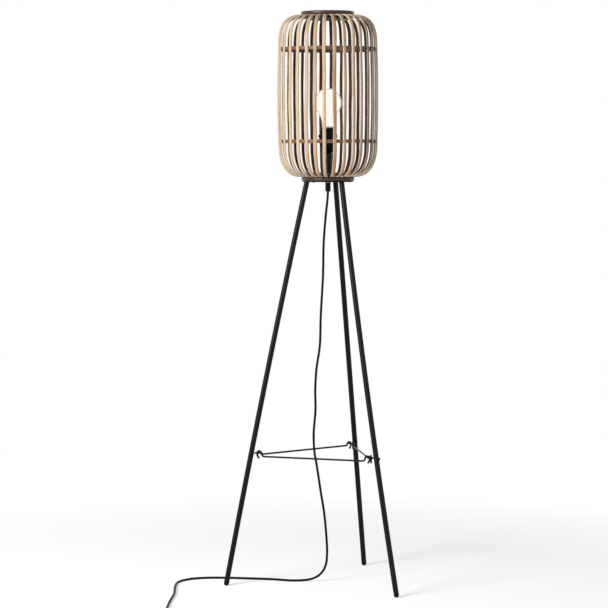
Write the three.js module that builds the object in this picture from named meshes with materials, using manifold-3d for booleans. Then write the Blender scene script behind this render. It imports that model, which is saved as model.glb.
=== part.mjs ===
// A floor lamp: a barrel-shaped shade of split rattan slats on a tripod of thin black steel legs.
// Millimetres, +Z up, the floor at zero. Heights are measured from the floor.
import * as THREE from 'three';
import { mergeVertices } from 'three/addons/utils/BufferGeometryUtils.js';
import Module from 'manifold-3d';

const wasm = await Module();
wasm.setup();

// Whole lamp
const lampHeight = 1300;
const seatGap = 0.3; // room between pieces that rest on or in each other
const cutOverrun = 3; // how far a cutting shape runs past what it cuts
const mergeDistance = 0.0005; // corners closer than this are one corner

// Wooden rings at the top and bottom of the shade
const shadeHeight = 381; // over both outer rings
const ringRadius = 60;
const ringWidth = 20; // from the bore to the outer edge
const ringHeight = 8;
const ringRound = 2.6; // rounding of the outer edges
const upperInnerInset = 10; // the inner ring's edge lies this far inside the outer ring's
const upperInnerHeight = 6.8;
const lowerInnerInset = 7.5;
const lowerInnerHeight = 5.6;
const innerRingRound = 2;
const ringFacets = 32;

// Rattan slats
const slatCount = 30;
const slatWidth = 7.2;
const slatThickness = 3.8;
const slatGrip = 14; // how far the slats reach in between the rings
const slatFlat = 2; // straight run outside the ring before the shoulder begins
const shadeRadius = 112; // outside of the slats where the shoulders end
const bellyRise = 2.2; // how much wider the shade is at half height
const topShoulder = 67; // height of the curved shoulder
const topSquareness = 2.6; // 2 is an ellipse, more is squarer
const bottomShoulder = 73;
const bottomSquareness = 2.3;
const firstSlatAngle = 265.9; // degrees from +X
// Degrees by which the slats stand off their even places, at even steps round the shade from the first slat.
const slatShifts = [0, 0.2, -1.4, -2.2, -0.9, -0.8, 1.3, -0.3, 0.2, -0.1, -1, 0.1, 2.1, 3.2, 3];
const shoulderSteps = 6;
const sideSteps = 4;

// Flat hoops inside the slats
const hoopHeight = 8;
const hoopThickness = 3;
const upperHoopDrop = 85; // from the top of the lamp to the middle of the hoop
const lowerHoopRise = 89; // from the underside of the lower ring
const hoopFacets = 48;

// Steel hub under the shade: a plate, a stem for the lampholder and three leg spigots
const hubInset = 2; // the plate's edge lies this far inside the ring's
const hubPlate = 2.5;
const stemLength = 62.7; // over the plate, up to the lampholder
const stemWall = 3; // round the gland's bore
const nippleWall = 1.6; // of the threaded end that the lampholder screws onto
const nippleLength = 9;
const wireBore = 3.2;
const glandBore = 5;
const hubFacets = 28;

// Legs: bent a little by hand and by their load, so each has its own bow
const legRadius = 6;
const legWall = 1.2;
const legTopInset = 9.6; // from the hub's edge to the middle of a leg's top
const footSpread = 236; // from the lamp's axis to the middle of a foot's round end
const firstLegAngle = 189.24;
const legNames = ['left', 'front', 'rear'];
const legBows = [3.3, -7.8, -0.3]; // outward at half height
const legSpigot = 25;
const legSteps = 5;
const legSides = 12;

// Foot glides pushed into the lower ends of the legs
const footCut = 0.5; // depth of the flat that the glide stands on
const footCollar = 4; // straight part between the round end and the tube
const footSpigot = 14;
const footRoundSteps = 3;

// Eye bolts through the legs, with hex nuts outside
const eyeHeight = 302;
const eyeWire = 1.4; // radius of the wire
const eyeRoom = 0.5; // between the eye's wire and the two hooks in it
const eyeStandOffs = [0, 6.6, 8]; // plain shank between each leg and its eye
const eyeNuts = [false, true, true]; // the left eye is screwed into its leg instead
const eyeNutRadius = 3.8;
const eyeNutHeight = 3.2;
const eyeNutSides = 6;
const eyeThreadEnd = 1.5; // thread that shows past the nut
const eyeSides = 6;
const eyeFacets = 16;

// Loose spreader rods with open hooks that drop into the eyes
const rodRadius = 2.1;
const rodsApart = 0.5; // between the two hooks that share an eye
const rodTail = 10.5; // below the middle of the hook's arch
const rodTailLean = 0.8;
const rodBends = [6, 4, 2.8]; // radius where each rod's hooks run out into the rod
const rodSides = 6;
const rodArchSteps = 6;
const rodBendSteps = 3;

// Screw-in lampholder of 27 mm size: cap, skirt and the insert with its contact
const holderCapHeight = 41.7;
const holderRim = 8; // height of the straight rim
const holderRimProud = 3.5; // the rim's edge stands this far out from the skirt
const holderSkirtProud = 14.6; // skirt that shows over the rim
const holderSkirtWall = 3.8;
const holderCapWall = 2;
const holderScrewRoom = 1; // between the skirt and the bulb's cap
const holderInsertHeight = 9;
const holderContactRadius = 3.5;
const holderContactHeight = 2.7;
const holderFacets = 24;
const holderDomeSteps = 4;

// Bulb of clear glass with a 27 mm screw cap
const bulbGlassHeight = 86; // over the cap
const bulbRadius = 31;
const bulbCrown = 33; // from the widest place to the top
const bulbArc = 42; // degrees of the round part that lie under the widest place
const bulbWall = 1;
const bulbCapRadius = 13.2;
const bulbCapRise = 3; // cap that shows over the lampholder's skirt
const bulbNeckInset = 0.2; // the glass neck lies this far inside the cap's edge
const bulbThreadLength = 20;
const bulbInsulatorRadius = 7;
const bulbContactHeight = 1.5;
const bulbFacets = 20;
const bulbCrownSteps = 5;
const bulbArcSteps = 3;
const bulbNeckSteps = 4;

// Cord gland under the hub
const glandRadius = 6.1;
const glandLip = 2.6; // rubber round the flex at the tip
const glandChamfer = 1;
const glandChamferWidth = 0.8;
const glandLength = 21.5;
const glandShank = 9;
const glandRoom = 3; // in the bore over the shank
const glandFacets = 20;

// Round flex
const cordDiameter = 5.4;
const cordSides = 8;
const cordSteps = 80;

// Foot switch on the flex
const switchLength = 66;
const switchWidth = 44;
const switchHeight = 17;
const switchRound = 2.5;
const switchWellRadius = 12;
const switchWellFloor = 5;
const switchButtonTop = 21;
const switchCrown = 1.5;
const switchTravel = 3;
const switchEntryHeight = 8;
const switchFacets = 24;
const switchRoundSteps = 2;
const switchEndSteps = 6;

// Moulded strain reliefs on the switch and the plug
const reliefLength = 22;
const reliefBaseRadius = 5.2;
const reliefLip = 0.9; // rubber round the flex at the tip
const reliefSides = 12;

// Flat two-pin plug
const plugThickness = 13.7;
const plugWidth = 35.3;
const plugLength = 35;
const plugTailWidth = 15;
const plugRound = 2;
const plugRoundSteps = 2;
const pinRadius = 2;
const pinLength = 19;
const pinSpacing = 18.6;
const pinSides = 8;

// Coil of spare flex: two layers of two turns
const coilRadius = 30; // at the middle of its turns
const coilLayerTurns = 2;
const coilTurnGap = 0.6;
const coilLead = 36; // straight run from the switch to the coil
const coilTail = 20; // straight run from the coil to the plug
const coilSteps = 24; // for each turn
const coilFallSteps = 4; // from the switch down to the floor
const coilRiseSteps = 2; // from the coil up to the plug
const coilProbes = 4; // points between two stations where the gap is measured
const coilSides = 6;

// Where the switch, coil and plug lie, measured from the lamp's axis
const switchMiddleX = -232;
const switchMiddleY = -469;

// Finishes
const rattan = { color: '#e6d3b5', roughness: 0.6, metalness: 0 };
const stainedWood = { color: '#4a2c1f', roughness: 0.45, metalness: 0 };
const blackSteel = { color: '#141414', roughness: 0.35, metalness: 0.5 };
const blackPlastic = { color: '#1a1a1b', roughness: 0.4, metalness: 0 };
const flex = { color: '#161616', roughness: 0.55, metalness: 0 };
const clearGlass = { color: '#f4f6f6', roughness: 0.05, metalness: 0 };
const nickel = { color: '#b9b6ae', roughness: 0.3, metalness: 0.9 };
const ceramic = { color: '#dedad0', roughness: 0.4, metalness: 0 };

// Radii that follow from the sizes above
const cordRadius = cordDiameter / 2;
const ringBore = ringRadius - ringWidth;
const slatEndRadius = ringRadius - slatGrip;
const hubRadius = ringRadius - hubInset;
const stemRadius = glandBore + stemWall;
const nippleRadius = wireBore + nippleWall;
const legTopRadius = hubRadius - legTopInset;
const holderSkirtBore = bulbCapRadius + holderScrewRoom;
const holderSkirtRadius = holderSkirtBore + holderSkirtWall;
const holderCapRadius = holderSkirtRadius + holderRimProud;
const bulbNeckRadius = bulbCapRadius - bulbNeckInset;
const glandTipRadius = cordRadius + glandLip;
const glandEndRadius = glandTipRadius + glandChamferWidth;
const reliefTipRadius = cordRadius + reliefLip;
// Rods leave an eye at sixty degrees to each other, so their sideways offsets are at twice that.
const rodOffset = (2 * rodRadius + rodsApart) / Math.sqrt(3);
const eyeRadius = rodOffset + rodRadius + eyeRoom + eyeWire; // to the middle of the wire

// Heights that follow from the sizes above
const shadeBottom = lampHeight - shadeHeight;
const upperRingUnderside = lampHeight - ringHeight;
const lowerRingTop = shadeBottom + ringHeight;
const slatTop = upperRingUnderside - seatGap;
const slatBottom = lowerRingTop + seatGap;
const hubTop = shadeBottom - seatGap;
const hubUnderside = hubTop - hubPlate;
const legTop = hubUnderside - seatGap;
const footMiddle = legRadius - footCut;
const stemTop = hubTop + stemLength;
const holderCapBottom = stemTop + seatGap;
const holderCapTop = holderCapBottom + holderCapHeight;
const holderSkirtTop = holderCapTop + holderSkirtProud;
const bulbCapRim = holderSkirtTop + bulbCapRise; // where the glass leaves the cap
const bulbTop = bulbCapRim + bulbGlassHeight;
const bulbCone = bulbCapRadius - bulbInsulatorRadius;
const bulbBottom = bulbCapRim - seatGap - bulbThreadLength - bulbCone - bulbContactHeight;
const holderInsertTop = bulbBottom - seatGap - holderContactHeight;
const glandEnd = hubUnderside - seatGap - glandLength;
const cordTop = glandEnd - seatGap;
const turn = 2 * Math.PI;

function point(x, y, z) {
  return new THREE.Vector3(x, y, z);
}

function radians(degrees) {
  return THREE.MathUtils.degToRad(degrees);
}

// Shared vertices are merged and faces without area are dropped.
function tidied(geometry) {
  const bare = geometry.clone();
  bare.deleteAttribute('normal');
  bare.deleteAttribute('uv');
  const merged = mergeVertices(bare, mergeDistance);
  const index = merged.index.array;
  const kept = [];
  for (let i = 0; i < index.length; i += 3) {
    const [a, b, c] = [index[i], index[i + 1], index[i + 2]];
    if (a !== b && b !== c && c !== a) {
      kept.push(a, b, c);
    }
  }
  merged.setIndex(kept);
  return merged;
}

function solid(geometry) {
  const merged = tidied(geometry);
  return new wasm.Manifold(new wasm.Mesh({
    numProp: 3,
    vertProperties: new Float32Array(merged.attributes.position.array),
    triVerts: new Uint32Array(merged.index.array),
  }));
}

function fromSolid(manifold) {
  const mesh = manifold.getMesh();
  const geometry = new THREE.BufferGeometry();
  geometry.setAttribute('position', new THREE.BufferAttribute(new Float32Array(mesh.vertProperties), 3));
  geometry.setIndex(new THREE.BufferAttribute(new Uint32Array(mesh.triVerts), 1));
  return geometry;
}

// A turned shape about +Z. The profile runs anticlockwise in radius and height.
function turned(profile, facets) {
  const points = profile.map(([radius, height]) => new THREE.Vector2(radius, height));
  return new THREE.LatheGeometry(points, facets).rotateX(Math.PI / 2);
}

function closed(profile) {
  return [...profile, profile[0]];
}

function circle(radius, sides) {
  const corners = [];
  for (let i = 0; i < sides; i += 1) {
    const angle = turn * (i + 0.5) / sides;
    corners.push(new THREE.Vector2(radius * Math.cos(angle), radius * Math.sin(angle)));
  }
  return new THREE.Shape(corners);
}

// A path with its own list of stations, so that straight runs take few steps and bends many.
class StationPath extends THREE.Curve {
  constructor(stations) {
    super();
    this.stations = stations;
  }

  getPointAt(share) {
    const last = this.stations.length - 1;
    return this.stations[Math.round(share * last)].clone();
  }

  getTangentAt(share) {
    const last = this.stations.length - 1;
    const here = Math.round(share * last);
    const ahead = this.stations[Math.min(here + 1, last)];
    const behind = this.stations[Math.max(here - 1, 0)];
    return ahead.clone().sub(behind).normalize();
  }
}

function rod(stations, section) {
  return new THREE.ExtrudeGeometry(section, {
    steps: stations.length - 1,
    extrudePath: new StationPath(stations),
  });
}

// A straight round bar from one point to another.
function bar(from, to, radius, sides) {
  return rod([from, to], circle(radius, sides));
}

function cutBox(low, high) {
  const size = high.clone().sub(low);
  const middle = low.clone().add(high).multiplyScalar(0.5);
  return new THREE.BoxGeometry(size.x, size.y, size.z).translate(middle.x, middle.y, middle.z);
}

// Outside line of a slat from its upper end to its lower end, as radius and height.
function slatLine() {
  const flatEnd = ringRadius + slatFlat;
  const reach = shadeRadius - flatEnd;
  const upper = slatTop - topShoulder;
  const lower = slatBottom + bottomShoulder;
  const line = [[slatEndRadius, slatTop]];
  for (let i = 0; i <= shoulderSteps; i += 1) {
    const angle = Math.PI / 2 * (1 - i / shoulderSteps);
    const power = 2 / topSquareness;
    line.push([
      flatEnd + reach * Math.cos(angle) ** power,
      upper + topShoulder * Math.sin(angle) ** power,
    ]);
  }
  for (let i = 1; i < sideSteps; i += 1) {
    const height = upper + (lower - upper) * i / sideSteps;
    line.push([sideRadius(height), height]);
  }
  for (let i = 0; i <= shoulderSteps; i += 1) {
    const angle = Math.PI / 2 * i / shoulderSteps;
    const power = 2 / bottomSquareness;
    line.push([
      flatEnd + reach * Math.cos(angle) ** power,
      lower - bottomShoulder * Math.sin(angle) ** power,
    ]);
  }
  line.push([slatEndRadius, slatBottom]);
  return line;
}

// Outside radius of the slats between the shoulders.
function sideRadius(height) {
  const upper = slatTop - topShoulder;
  const lower = slatBottom + bottomShoulder;
  const share = (2 * height - upper - lower) / (upper - lower);
  return shadeRadius + bellyRise * (1 - share * share);
}

// The same line, moved inwards by the slat's thickness.
function offsetLine(line, distance) {
  return line.map(([radius, height], i) => {
    const before = line[Math.max(i - 1, 0)];
    const after = line[Math.min(i + 1, line.length - 1)];
    const along = new THREE.Vector2(after[0] - before[0], after[1] - before[1]).normalize();
    return [radius + along.y * distance, height - along.x * distance];
  });
}

function slatShape() {
  const outside = slatLine();
  const inside = offsetLine(outside, slatThickness);
  const corners = [...outside, ...inside.reverse()];
  return new THREE.Shape(corners.map(([radius, height]) => new THREE.Vector2(radius, height)));
}

function slat() {
  const flat = new THREE.ExtrudeGeometry(slatShape(), { depth: slatWidth, bevelEnabled: false });
  return flat.translate(0, 0, -slatWidth / 2).rotateX(Math.PI / 2);
}

// Angle of a slat from +X, between the two nearest of the shifts.
function slatAngle(i) {
  const place = i / slatCount * slatShifts.length;
  const before = Math.floor(place);
  const after = (before + 1) % slatShifts.length;
  const shift = THREE.MathUtils.lerp(slatShifts[before], slatShifts[after], place - before);
  return radians(firstSlatAngle + shift) + turn * i / slatCount;
}

// A wooden ring with its outer edges rounded.
function woodRing(outer, height, round, underside) {
  const diagonal = round * Math.SQRT1_2;
  const middle = outer - round;
  return turned(closed([
    [ringBore, underside],
    [middle, underside],
    [middle + diagonal, underside + round - diagonal],
    [outer, underside + round],
    [outer, underside + height - round],
    [middle + diagonal, underside + height - round + diagonal],
    [middle, underside + height],
    [ringBore, underside + height],
  ]), ringFacets);
}

function hoop(middle) {
  const outer = Math.min(
    sideRadius(middle - hoopHeight / 2),
    sideRadius(middle + hoopHeight / 2),
  ) - slatThickness - seatGap;
  const inner = outer - hoopThickness;
  return turned(closed([
    [inner, middle - hoopHeight / 2],
    [outer, middle - hoopHeight / 2],
    [outer, middle + hoopHeight / 2],
    [inner, middle + hoopHeight / 2],
  ]), hoopFacets);
}

// Middle line of a leg in its own upright plane, from the foot (0) to the top (1).
function legPoint(bow, share) {
  const radius = footSpread + (legTopRadius - footSpread) * share + 4 * bow * share * (1 - share);
  return point(radius, 0, footMiddle + (legTop - footMiddle) * share);
}

function legShareAt(height) {
  return (height - footMiddle) / (legTop - footMiddle);
}

function legDirection(bow, share) {
  const radius = legTopRadius - footSpread + 4 * bow * (1 - 2 * share);
  return point(radius, 0, legTop - footMiddle).normalize();
}

function hub() {
  const boreStep = hubUnderside + glandShank + glandRoom;
  let body = solid(turned(closed([
    [glandBore, hubUnderside],
    [hubRadius, hubUnderside],
    [hubRadius, hubTop],
    [stemRadius, hubTop],
    [stemRadius, stemTop],
    [nippleRadius, stemTop],
    [nippleRadius, stemTop + nippleLength],
    [wireBore, stemTop + nippleLength],
    [wireBore, boreStep],
    [glandBore, boreStep],
  ]), hubFacets));
  const spigotRadius = legRadius - legWall - seatGap;
  legBows.forEach((bow, i) => {
    const axis = legDirection(bow, 1);
    const root = legPoint(bow, 1).addScaledVector(axis, hubPlate / 2);
    const tip = legPoint(bow, 1).addScaledVector(axis, -legSpigot);
    const spigot = bar(tip, root, spigotRadius, legSides).rotateZ(legAngle(i));
    body = body.add(solid(spigot));
  });
  return fromSolid(body);
}

function legAngle(i) {
  return radians(firstLegAngle) + turn * i / legBows.length;
}

function leg(bow, throughBoth) {
  const start = legShareAt(footMiddle + footCollar + seatGap);
  const end = legShareAt(legTop + cutOverrun);
  const stations = [];
  for (let i = 0; i <= legSteps; i += 1) {
    stations.push(legPoint(bow, start + (end - start) * i / legSteps));
  }
  const tube = solid(rod(stations, circle(legRadius, legSides)))
    .subtract(solid(rod(stations.map((station, i) => {
      const beyond = i === 0 ? -cutOverrun : i === legSteps ? cutOverrun : 0;
      return station.clone().addScaledVector(legDirection(bow, start), beyond);
    }), circle(legRadius - legWall, legSides))));
  const low = point(0, -2 * legRadius, legTop);
  const high = point(legTopRadius + 2 * legRadius, 2 * legRadius, legTop + 2 * legRadius + cutOverrun);
  const hole = bar(
    point(eyeLegRadius(bow) - 2 * legRadius, 0, eyeHeight),
    point(eyeLegRadius(bow) + (throughBoth ? 2 * legRadius : 0), 0, eyeHeight),
    eyeWire + seatGap,
    eyeSides,
  );
  return fromSolid(tube.subtract(solid(cutBox(low, high))).subtract(solid(hole)));
}

// Turned about the leg's own axis, then cut level where it stands on the floor.
function footGlide(bow) {
  const profile = [];
  for (let i = 0; i <= footRoundSteps; i += 1) {
    const angle = Math.PI / 2 * i / footRoundSteps;
    profile.push([legRadius * Math.sin(angle), -legRadius * Math.cos(angle)]);
  }
  const spigotRadius = legRadius - legWall - seatGap;
  profile.push([legRadius, footCollar]);
  profile.push([spigotRadius, footCollar]);
  profile.push([spigotRadius, footCollar + footSpigot]);
  profile.push([0, footCollar + footSpigot]);
  const axis = legDirection(bow, 0);
  const tilt = Math.atan2(axis.x, axis.z);
  const glide = turned(profile, legSides).rotateY(tilt).translate(footSpread, 0, footMiddle);
  const low = point(footSpread - 2 * legRadius, -2 * legRadius, -2 * legRadius);
  const high = point(footSpread + 2 * legRadius, 2 * legRadius, 0);
  return fromSolid(solid(glide).subtract(solid(cutBox(low, high))));
}

function eyeLegRadius(bow) {
  return legPoint(bow, legShareAt(eyeHeight)).x;
}

// How far a leaning leg reaches to one side, within a given height over and under the eye.
function legReach(bow, height) {
  const axis = legDirection(bow, legShareAt(eyeHeight));
  return legRadius / axis.z + height * Math.abs(axis.x) / axis.z;
}

function eyeMiddle(i) {
  const bow = legBows[i];
  return eyeLegRadius(bow) - legReach(bow, eyeWire) - seatGap - eyeStandOffs[i] - eyeWire - eyeRadius;
}

// An eye with its nut, or one whose thread ends in the middle of the tube.
function eyeBolt(i) {
  const middle = eyeMiddle(i);
  const ring = new THREE.TorusGeometry(eyeRadius, eyeWire, eyeSides, eyeFacets);
  const nutStart = eyeLegRadius(legBows[i]) + legReach(legBows[i], eyeNutRadius) + seatGap;
  const nutEnd = nutStart + eyeNutHeight;
  const threadEnd = eyeNuts[i] ? nutEnd + eyeThreadEnd : eyeLegRadius(legBows[i]);
  const shank = bar(
    point(middle + eyeRadius, 0, eyeHeight),
    point(threadEnd, 0, eyeHeight),
    eyeWire,
    eyeSides,
  );
  let body = solid(ring.translate(middle, 0, eyeHeight)).add(solid(shank));
  if (eyeNuts[i]) {
    const nut = bar(point(nutStart, 0, eyeHeight), point(nutEnd, 0, eyeHeight), eyeNutRadius, eyeNutSides);
    body = body.add(solid(nut));
  }
  return fromSolid(body);
}

function eyePoint(i) {
  return point(eyeMiddle(i), 0, eyeHeight).applyAxisAngle(point(0, 0, 1), legAngle(i));
}

// One hook as distances along the rod and heights over the eye's middle, from the tail inwards.
function hookLine(bend) {
  const archRadius = (eyeRadius + eyeWire + rodRadius + 2 * seatGap) / 2;
  const seat = eyeWire + rodRadius + seatGap;
  const archMiddle = seat - Math.sqrt(archRadius ** 2 - (eyeRadius - archRadius) ** 2);
  const line = [[rodTailLean, archMiddle - rodTail], [0, archMiddle - rodTail / 2]];
  for (let i = 0; i <= rodArchSteps; i += 1) {
    const angle = Math.PI * (1 - i / rodArchSteps);
    line.push([archRadius * (1 + Math.cos(angle)), archMiddle + archRadius * Math.sin(angle)]);
  }
  for (let i = 1; i <= rodBendSteps; i += 1) {
    const angle = Math.PI / 2 * i / rodBendSteps;
    line.push([
      2 * archRadius + bend * (1 - Math.cos(angle)),
      archMiddle - bend * Math.sin(angle),
    ]);
  }
  return line;
}

function spreaderRod(from, to) {
  const start = eyePoint(from);
  const end = eyePoint(to);
  const along = end.clone().sub(start).normalize();
  const outward = along.clone().cross(point(0, 0, 1));
  const place = (eye, direction) => hookLine(rodBends[from]).map(([distance, height]) => eye.clone()
    .addScaledVector(direction, distance)
    .addScaledVector(outward, rodOffset)
    .add(point(0, 0, height)));
  const near = place(start, along);
  const far = place(end, along.clone().negate()).reverse();
  return rod([...near, ...far], circle(rodRadius, rodSides));
}

// Dome with a straight rim, open at the top, with a ledge for the skirt and a lower one for the insert.
function holderCap() {
  const rimBottom = holderCapTop - holderRim;
  const domeHeight = rimBottom - holderCapBottom;
  const neck = nippleRadius + seatGap + holderCapWall;
  const pocket = holderSkirtRadius + seatGap;
  const well = holderSkirtBore + seatGap;
  const ledge = holderInsertTop - holderInsertHeight - seatGap;
  const profile = [[nippleRadius + seatGap, holderCapBottom]];
  for (let i = 0; i <= holderDomeSteps; i += 1) {
    const angle = Math.PI / 2 * i / holderDomeSteps;
    profile.push([
      neck + (holderSkirtRadius + holderCapWall - neck) * Math.sin(angle),
      rimBottom - domeHeight * Math.cos(angle),
    ]);
  }
  profile.push([holderCapRadius, rimBottom + holderCapWall / 2]);
  profile.push([holderCapRadius, holderCapTop]);
  profile.push([pocket, holderCapTop]);
  profile.push([pocket, holderInsertTop]);
  profile.push([well, holderInsertTop]);
  profile.push([well, ledge]);
  profile.push([well - holderCapWall, ledge]);
  profile.push([neck, holderCapBottom + 2 * holderCapWall]);
  profile.push([nippleRadius + seatGap, holderCapBottom + holderCapWall]);
  return turned(closed(profile), holderFacets);
}

function holderInsert() {
  const bottom = holderInsertTop - holderInsertHeight;
  const contactTop = holderInsertTop + holderContactHeight;
  return turned([
    [0, bottom],
    [holderSkirtBore, bottom],
    [holderSkirtBore, holderInsertTop],
    [holderContactRadius, holderInsertTop],
    [holderContactRadius, contactTop],
    [0, contactTop],
  ], holderFacets);
}

function holderSkirt() {
  const bottom = holderInsertTop + seatGap;
  return turned(closed([
    [holderSkirtBore, bottom],
    [holderSkirtRadius, bottom],
    [holderSkirtRadius, holderSkirtTop],
    [holderSkirtBore, holderSkirtTop],
  ]), holderFacets);
}

function bulbCap() {
  const rim = bulbCapRim - seatGap;
  const threadBottom = rim - bulbThreadLength;
  return turned([
    [0, bulbBottom],
    [bulbInsulatorRadius / 2, bulbBottom],
    [bulbInsulatorRadius, bulbBottom + bulbContactHeight],
    [bulbCapRadius, threadBottom],
    [bulbCapRadius, rim],
    [0, rim],
  ], bulbFacets);
}

// Line of the glass from the neck's lower edge to the top: a neck that flares, then a round head.
function bulbLine(wall) {
  const widest = bulbTop - bulbCrown;
  const belly = bulbRadius - wall;
  const arc = radians(bulbArc);
  const neck = new THREE.Vector2(bulbNeckRadius - wall, bulbCapRim);
  const head = new THREE.Vector2(belly * Math.cos(arc), widest - belly * Math.sin(arc));
  const flare = new THREE.Vector2(neck.x, head.y - (head.x - neck.x) / Math.tan(arc));
  const line = new THREE.QuadraticBezierCurve(neck, flare, head).getPoints(bulbNeckSteps)
    .map((corner) => [corner.x, corner.y]);
  for (let i = 1; i <= bulbArcSteps; i += 1) {
    const angle = arc * (1 - i / bulbArcSteps);
    line.push([belly * Math.cos(angle), widest - belly * Math.sin(angle)]);
  }
  for (let i = 1; i <= bulbCrownSteps; i += 1) {
    const angle = Math.PI / 2 * i / bulbCrownSteps;
    const radius = i === bulbCrownSteps ? 0 : belly * Math.cos(angle);
    line.push([radius, widest + (bulbCrown - wall) * Math.sin(angle)]);
  }
  return line;
}

// A thin shell that is open at the neck.
function bulbGlass() {
  return turned([...bulbLine(bulbWall).reverse(), ...bulbLine(0)], bulbFacets);
}

function cordGland() {
  const top = hubUnderside - seatGap;
  const shankRadius = glandBore - seatGap;
  return turned([
    [0, glandEnd],
    [glandTipRadius, glandEnd],
    [glandEndRadius, glandEnd + glandChamfer],
    [glandRadius, top],
    [shankRadius, top],
    [shankRadius, top + glandShank],
    [0, top + glandShank],
  ], glandFacets);
}

// Where the flex meets the switch, seen from the lamp's axis.
function switchEnd(side) {
  const half = switchLength / 2 + reliefLength;
  return point(switchMiddleX + side * half, switchMiddleY, switchEntryHeight);
}

// Route of the flex, chosen by hand: down from the gland, over the floor and round to the switch.
function cordRoute() {
  return [
    point(0, 0, cordTop),
    point(-1, 0, 879),
    point(-5, 0, 841),
    point(-9.9, 0, 780),
    point(-11.7, 0, 705),
    point(-17.1, 0, 610),
    point(-19.3, 0, 545),
    point(-27.2, 0, 490),
    point(-30, 0, 445),
    point(-29.7, 0, 395),
    point(-33.8, 0, 345),
    point(-32.4, 0, 302),
    point(-26.8, 0, 268),
    point(-18.7, 0.5, 213),
    point(-10.2, 1, 158),
    point(-5.3, 2, 103),
    point(-4, 4, 66),
    point(-7.5, 6, 38),
    point(-19, 8, 18),
    point(-38, 9, 7),
    point(-62, 8.5, 3.4),
    point(-88, 9, 2.9),
    point(-122, 22, 2.9),
    point(-160, 31, 2.9),
    point(-205, 39, 2.9),
    point(-250, 44, 2.9),
    point(-285, 43, 2.9),
    point(-320, 28, 2.9),
    point(-343, -5, 2.9),
    point(-348, -60, 2.9),
    point(-345, -150, 2.9),
    point(-349, -250, 2.9),
    point(-350, -350, 2.9),
    point(-347, -420, 2.9),
    point(-333, -452, 3.2),
    point(-308, -467, 5.5),
    point(-295, -469, 7.6),
    switchEnd(-1).add(point(-seatGap, 0, 0)),
  ];
}

function cord() {
  return new THREE.ExtrudeGeometry(circle(cordRadius, cordSides), {
    steps: cordSteps,
    extrudePath: new THREE.CatmullRomCurve3(cordRoute()),
  });
}

// Middle line of the coil: in from the switch, two turns inwards, up a layer, two turns outwards.
function coilRoute() {
  const pitch = cordDiameter + coilTurnGap;
  const outer = coilRadius + pitch * coilLayerTurns / 2;
  const layer = turn * coilLayerTurns;
  const whole = 2 * layer + Math.PI;
  const start = switchEnd(1).add(point(seatGap, 0, 0));
  const middle = point(start.x + coilLead, start.y + outer, 0);
  const route = [start, start.clone().add(point(cordDiameter, 0, 0))];
  const drop = coilLead - 2 * cordDiameter;
  for (let i = 1; i <= coilFallSteps; i += 1) {
    const share = i / coilFallSteps;
    const fall = (1 - Math.cos(Math.PI * share)) / 2;
    const height = switchEntryHeight + (cordRadius - switchEntryHeight) * fall;
    route.push(point(start.x + cordDiameter + drop * share, start.y, height));
  }
  const count = Math.round(coilSteps * whole / turn);
  for (let i = 0; i <= count; i += 1) {
    const angle = whole * i / count;
    const reverse = THREE.MathUtils.clamp(angle - layer, 0, Math.PI);
    const dip = pitch * (Math.PI / 2 - Math.abs(reverse - Math.PI / 2)) / turn;
    const inwards = pitch * Math.min(angle, layer) / turn;
    const outwards = pitch * Math.max(angle - layer - Math.PI, 0) / turn;
    const radius = outer - inwards + outwards - dip;
    const climb = pitch * (1 - Math.cos(reverse)) / 2;
    route.push(point(
      middle.x + radius * Math.sin(angle),
      middle.y - radius * Math.cos(angle),
      cordRadius + climb,
    ));
  }
  const leave = route[route.length - 1];
  const plugHeight = plugThickness / 2;
  const settle = coilTail - 2 * cordDiameter;
  for (let i = 1; i <= coilRiseSteps; i += 1) {
    const share = i / coilRiseSteps;
    route.push(point(
      leave.x - cordDiameter - settle * share,
      leave.y,
      leave.z + (plugHeight - leave.z) * share,
    ));
  }
  route.push(point(leave.x - coilTail, leave.y, plugHeight));
  return route;
}

// Least distance between parts of the coil that lie more than a third of a turn apart.
function coilGap(route) {
  const fine = [];
  for (let i = 0; i < route.length - 1; i += 1) {
    for (let k = 0; k < coilProbes; k += 1) {
      fine.push(route[i].clone().lerp(route[i + 1], k / coilProbes));
    }
  }
  const apart = Math.round(coilProbes * coilSteps / 3);
  let least = Infinity;
  for (let i = 0; i < fine.length; i += 1) {
    for (let k = i + apart; k < fine.length; k += 1) {
      least = Math.min(least, fine[i].distanceTo(fine[k]));
    }
  }
  return least - cordDiameter;
}

function cordCoil() {
  const route = coilRoute();
  console.log(`least gap of the coil to itself: ${coilGap(route).toFixed(2)} mm`);
  return rod(route, circle(cordRadius, coilSides));
}

function relief(from, towards) {
  const profile = [
    [0, 0],
    [reliefBaseRadius, 0],
    [reliefTipRadius, reliefLength + cutOverrun],
    [0, reliefLength + cutOverrun],
  ];
  return turned(profile, reliefSides).rotateY(towards * Math.PI / 2).translate(from.x, from.y, from.z);
}

// An oval with straight sides, in plan.
function ovalShape(length, width) {
  const radius = width / 2;
  const straight = length / 2 - radius;
  const shape = new THREE.Shape();
  shape.moveTo(-straight, -radius);
  shape.lineTo(straight, -radius);
  shape.absarc(straight, 0, radius, -Math.PI / 2, Math.PI / 2, false);
  shape.lineTo(-straight, radius);
  shape.absarc(-straight, 0, radius, Math.PI / 2, 3 * Math.PI / 2, false);
  return shape;
}

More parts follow.
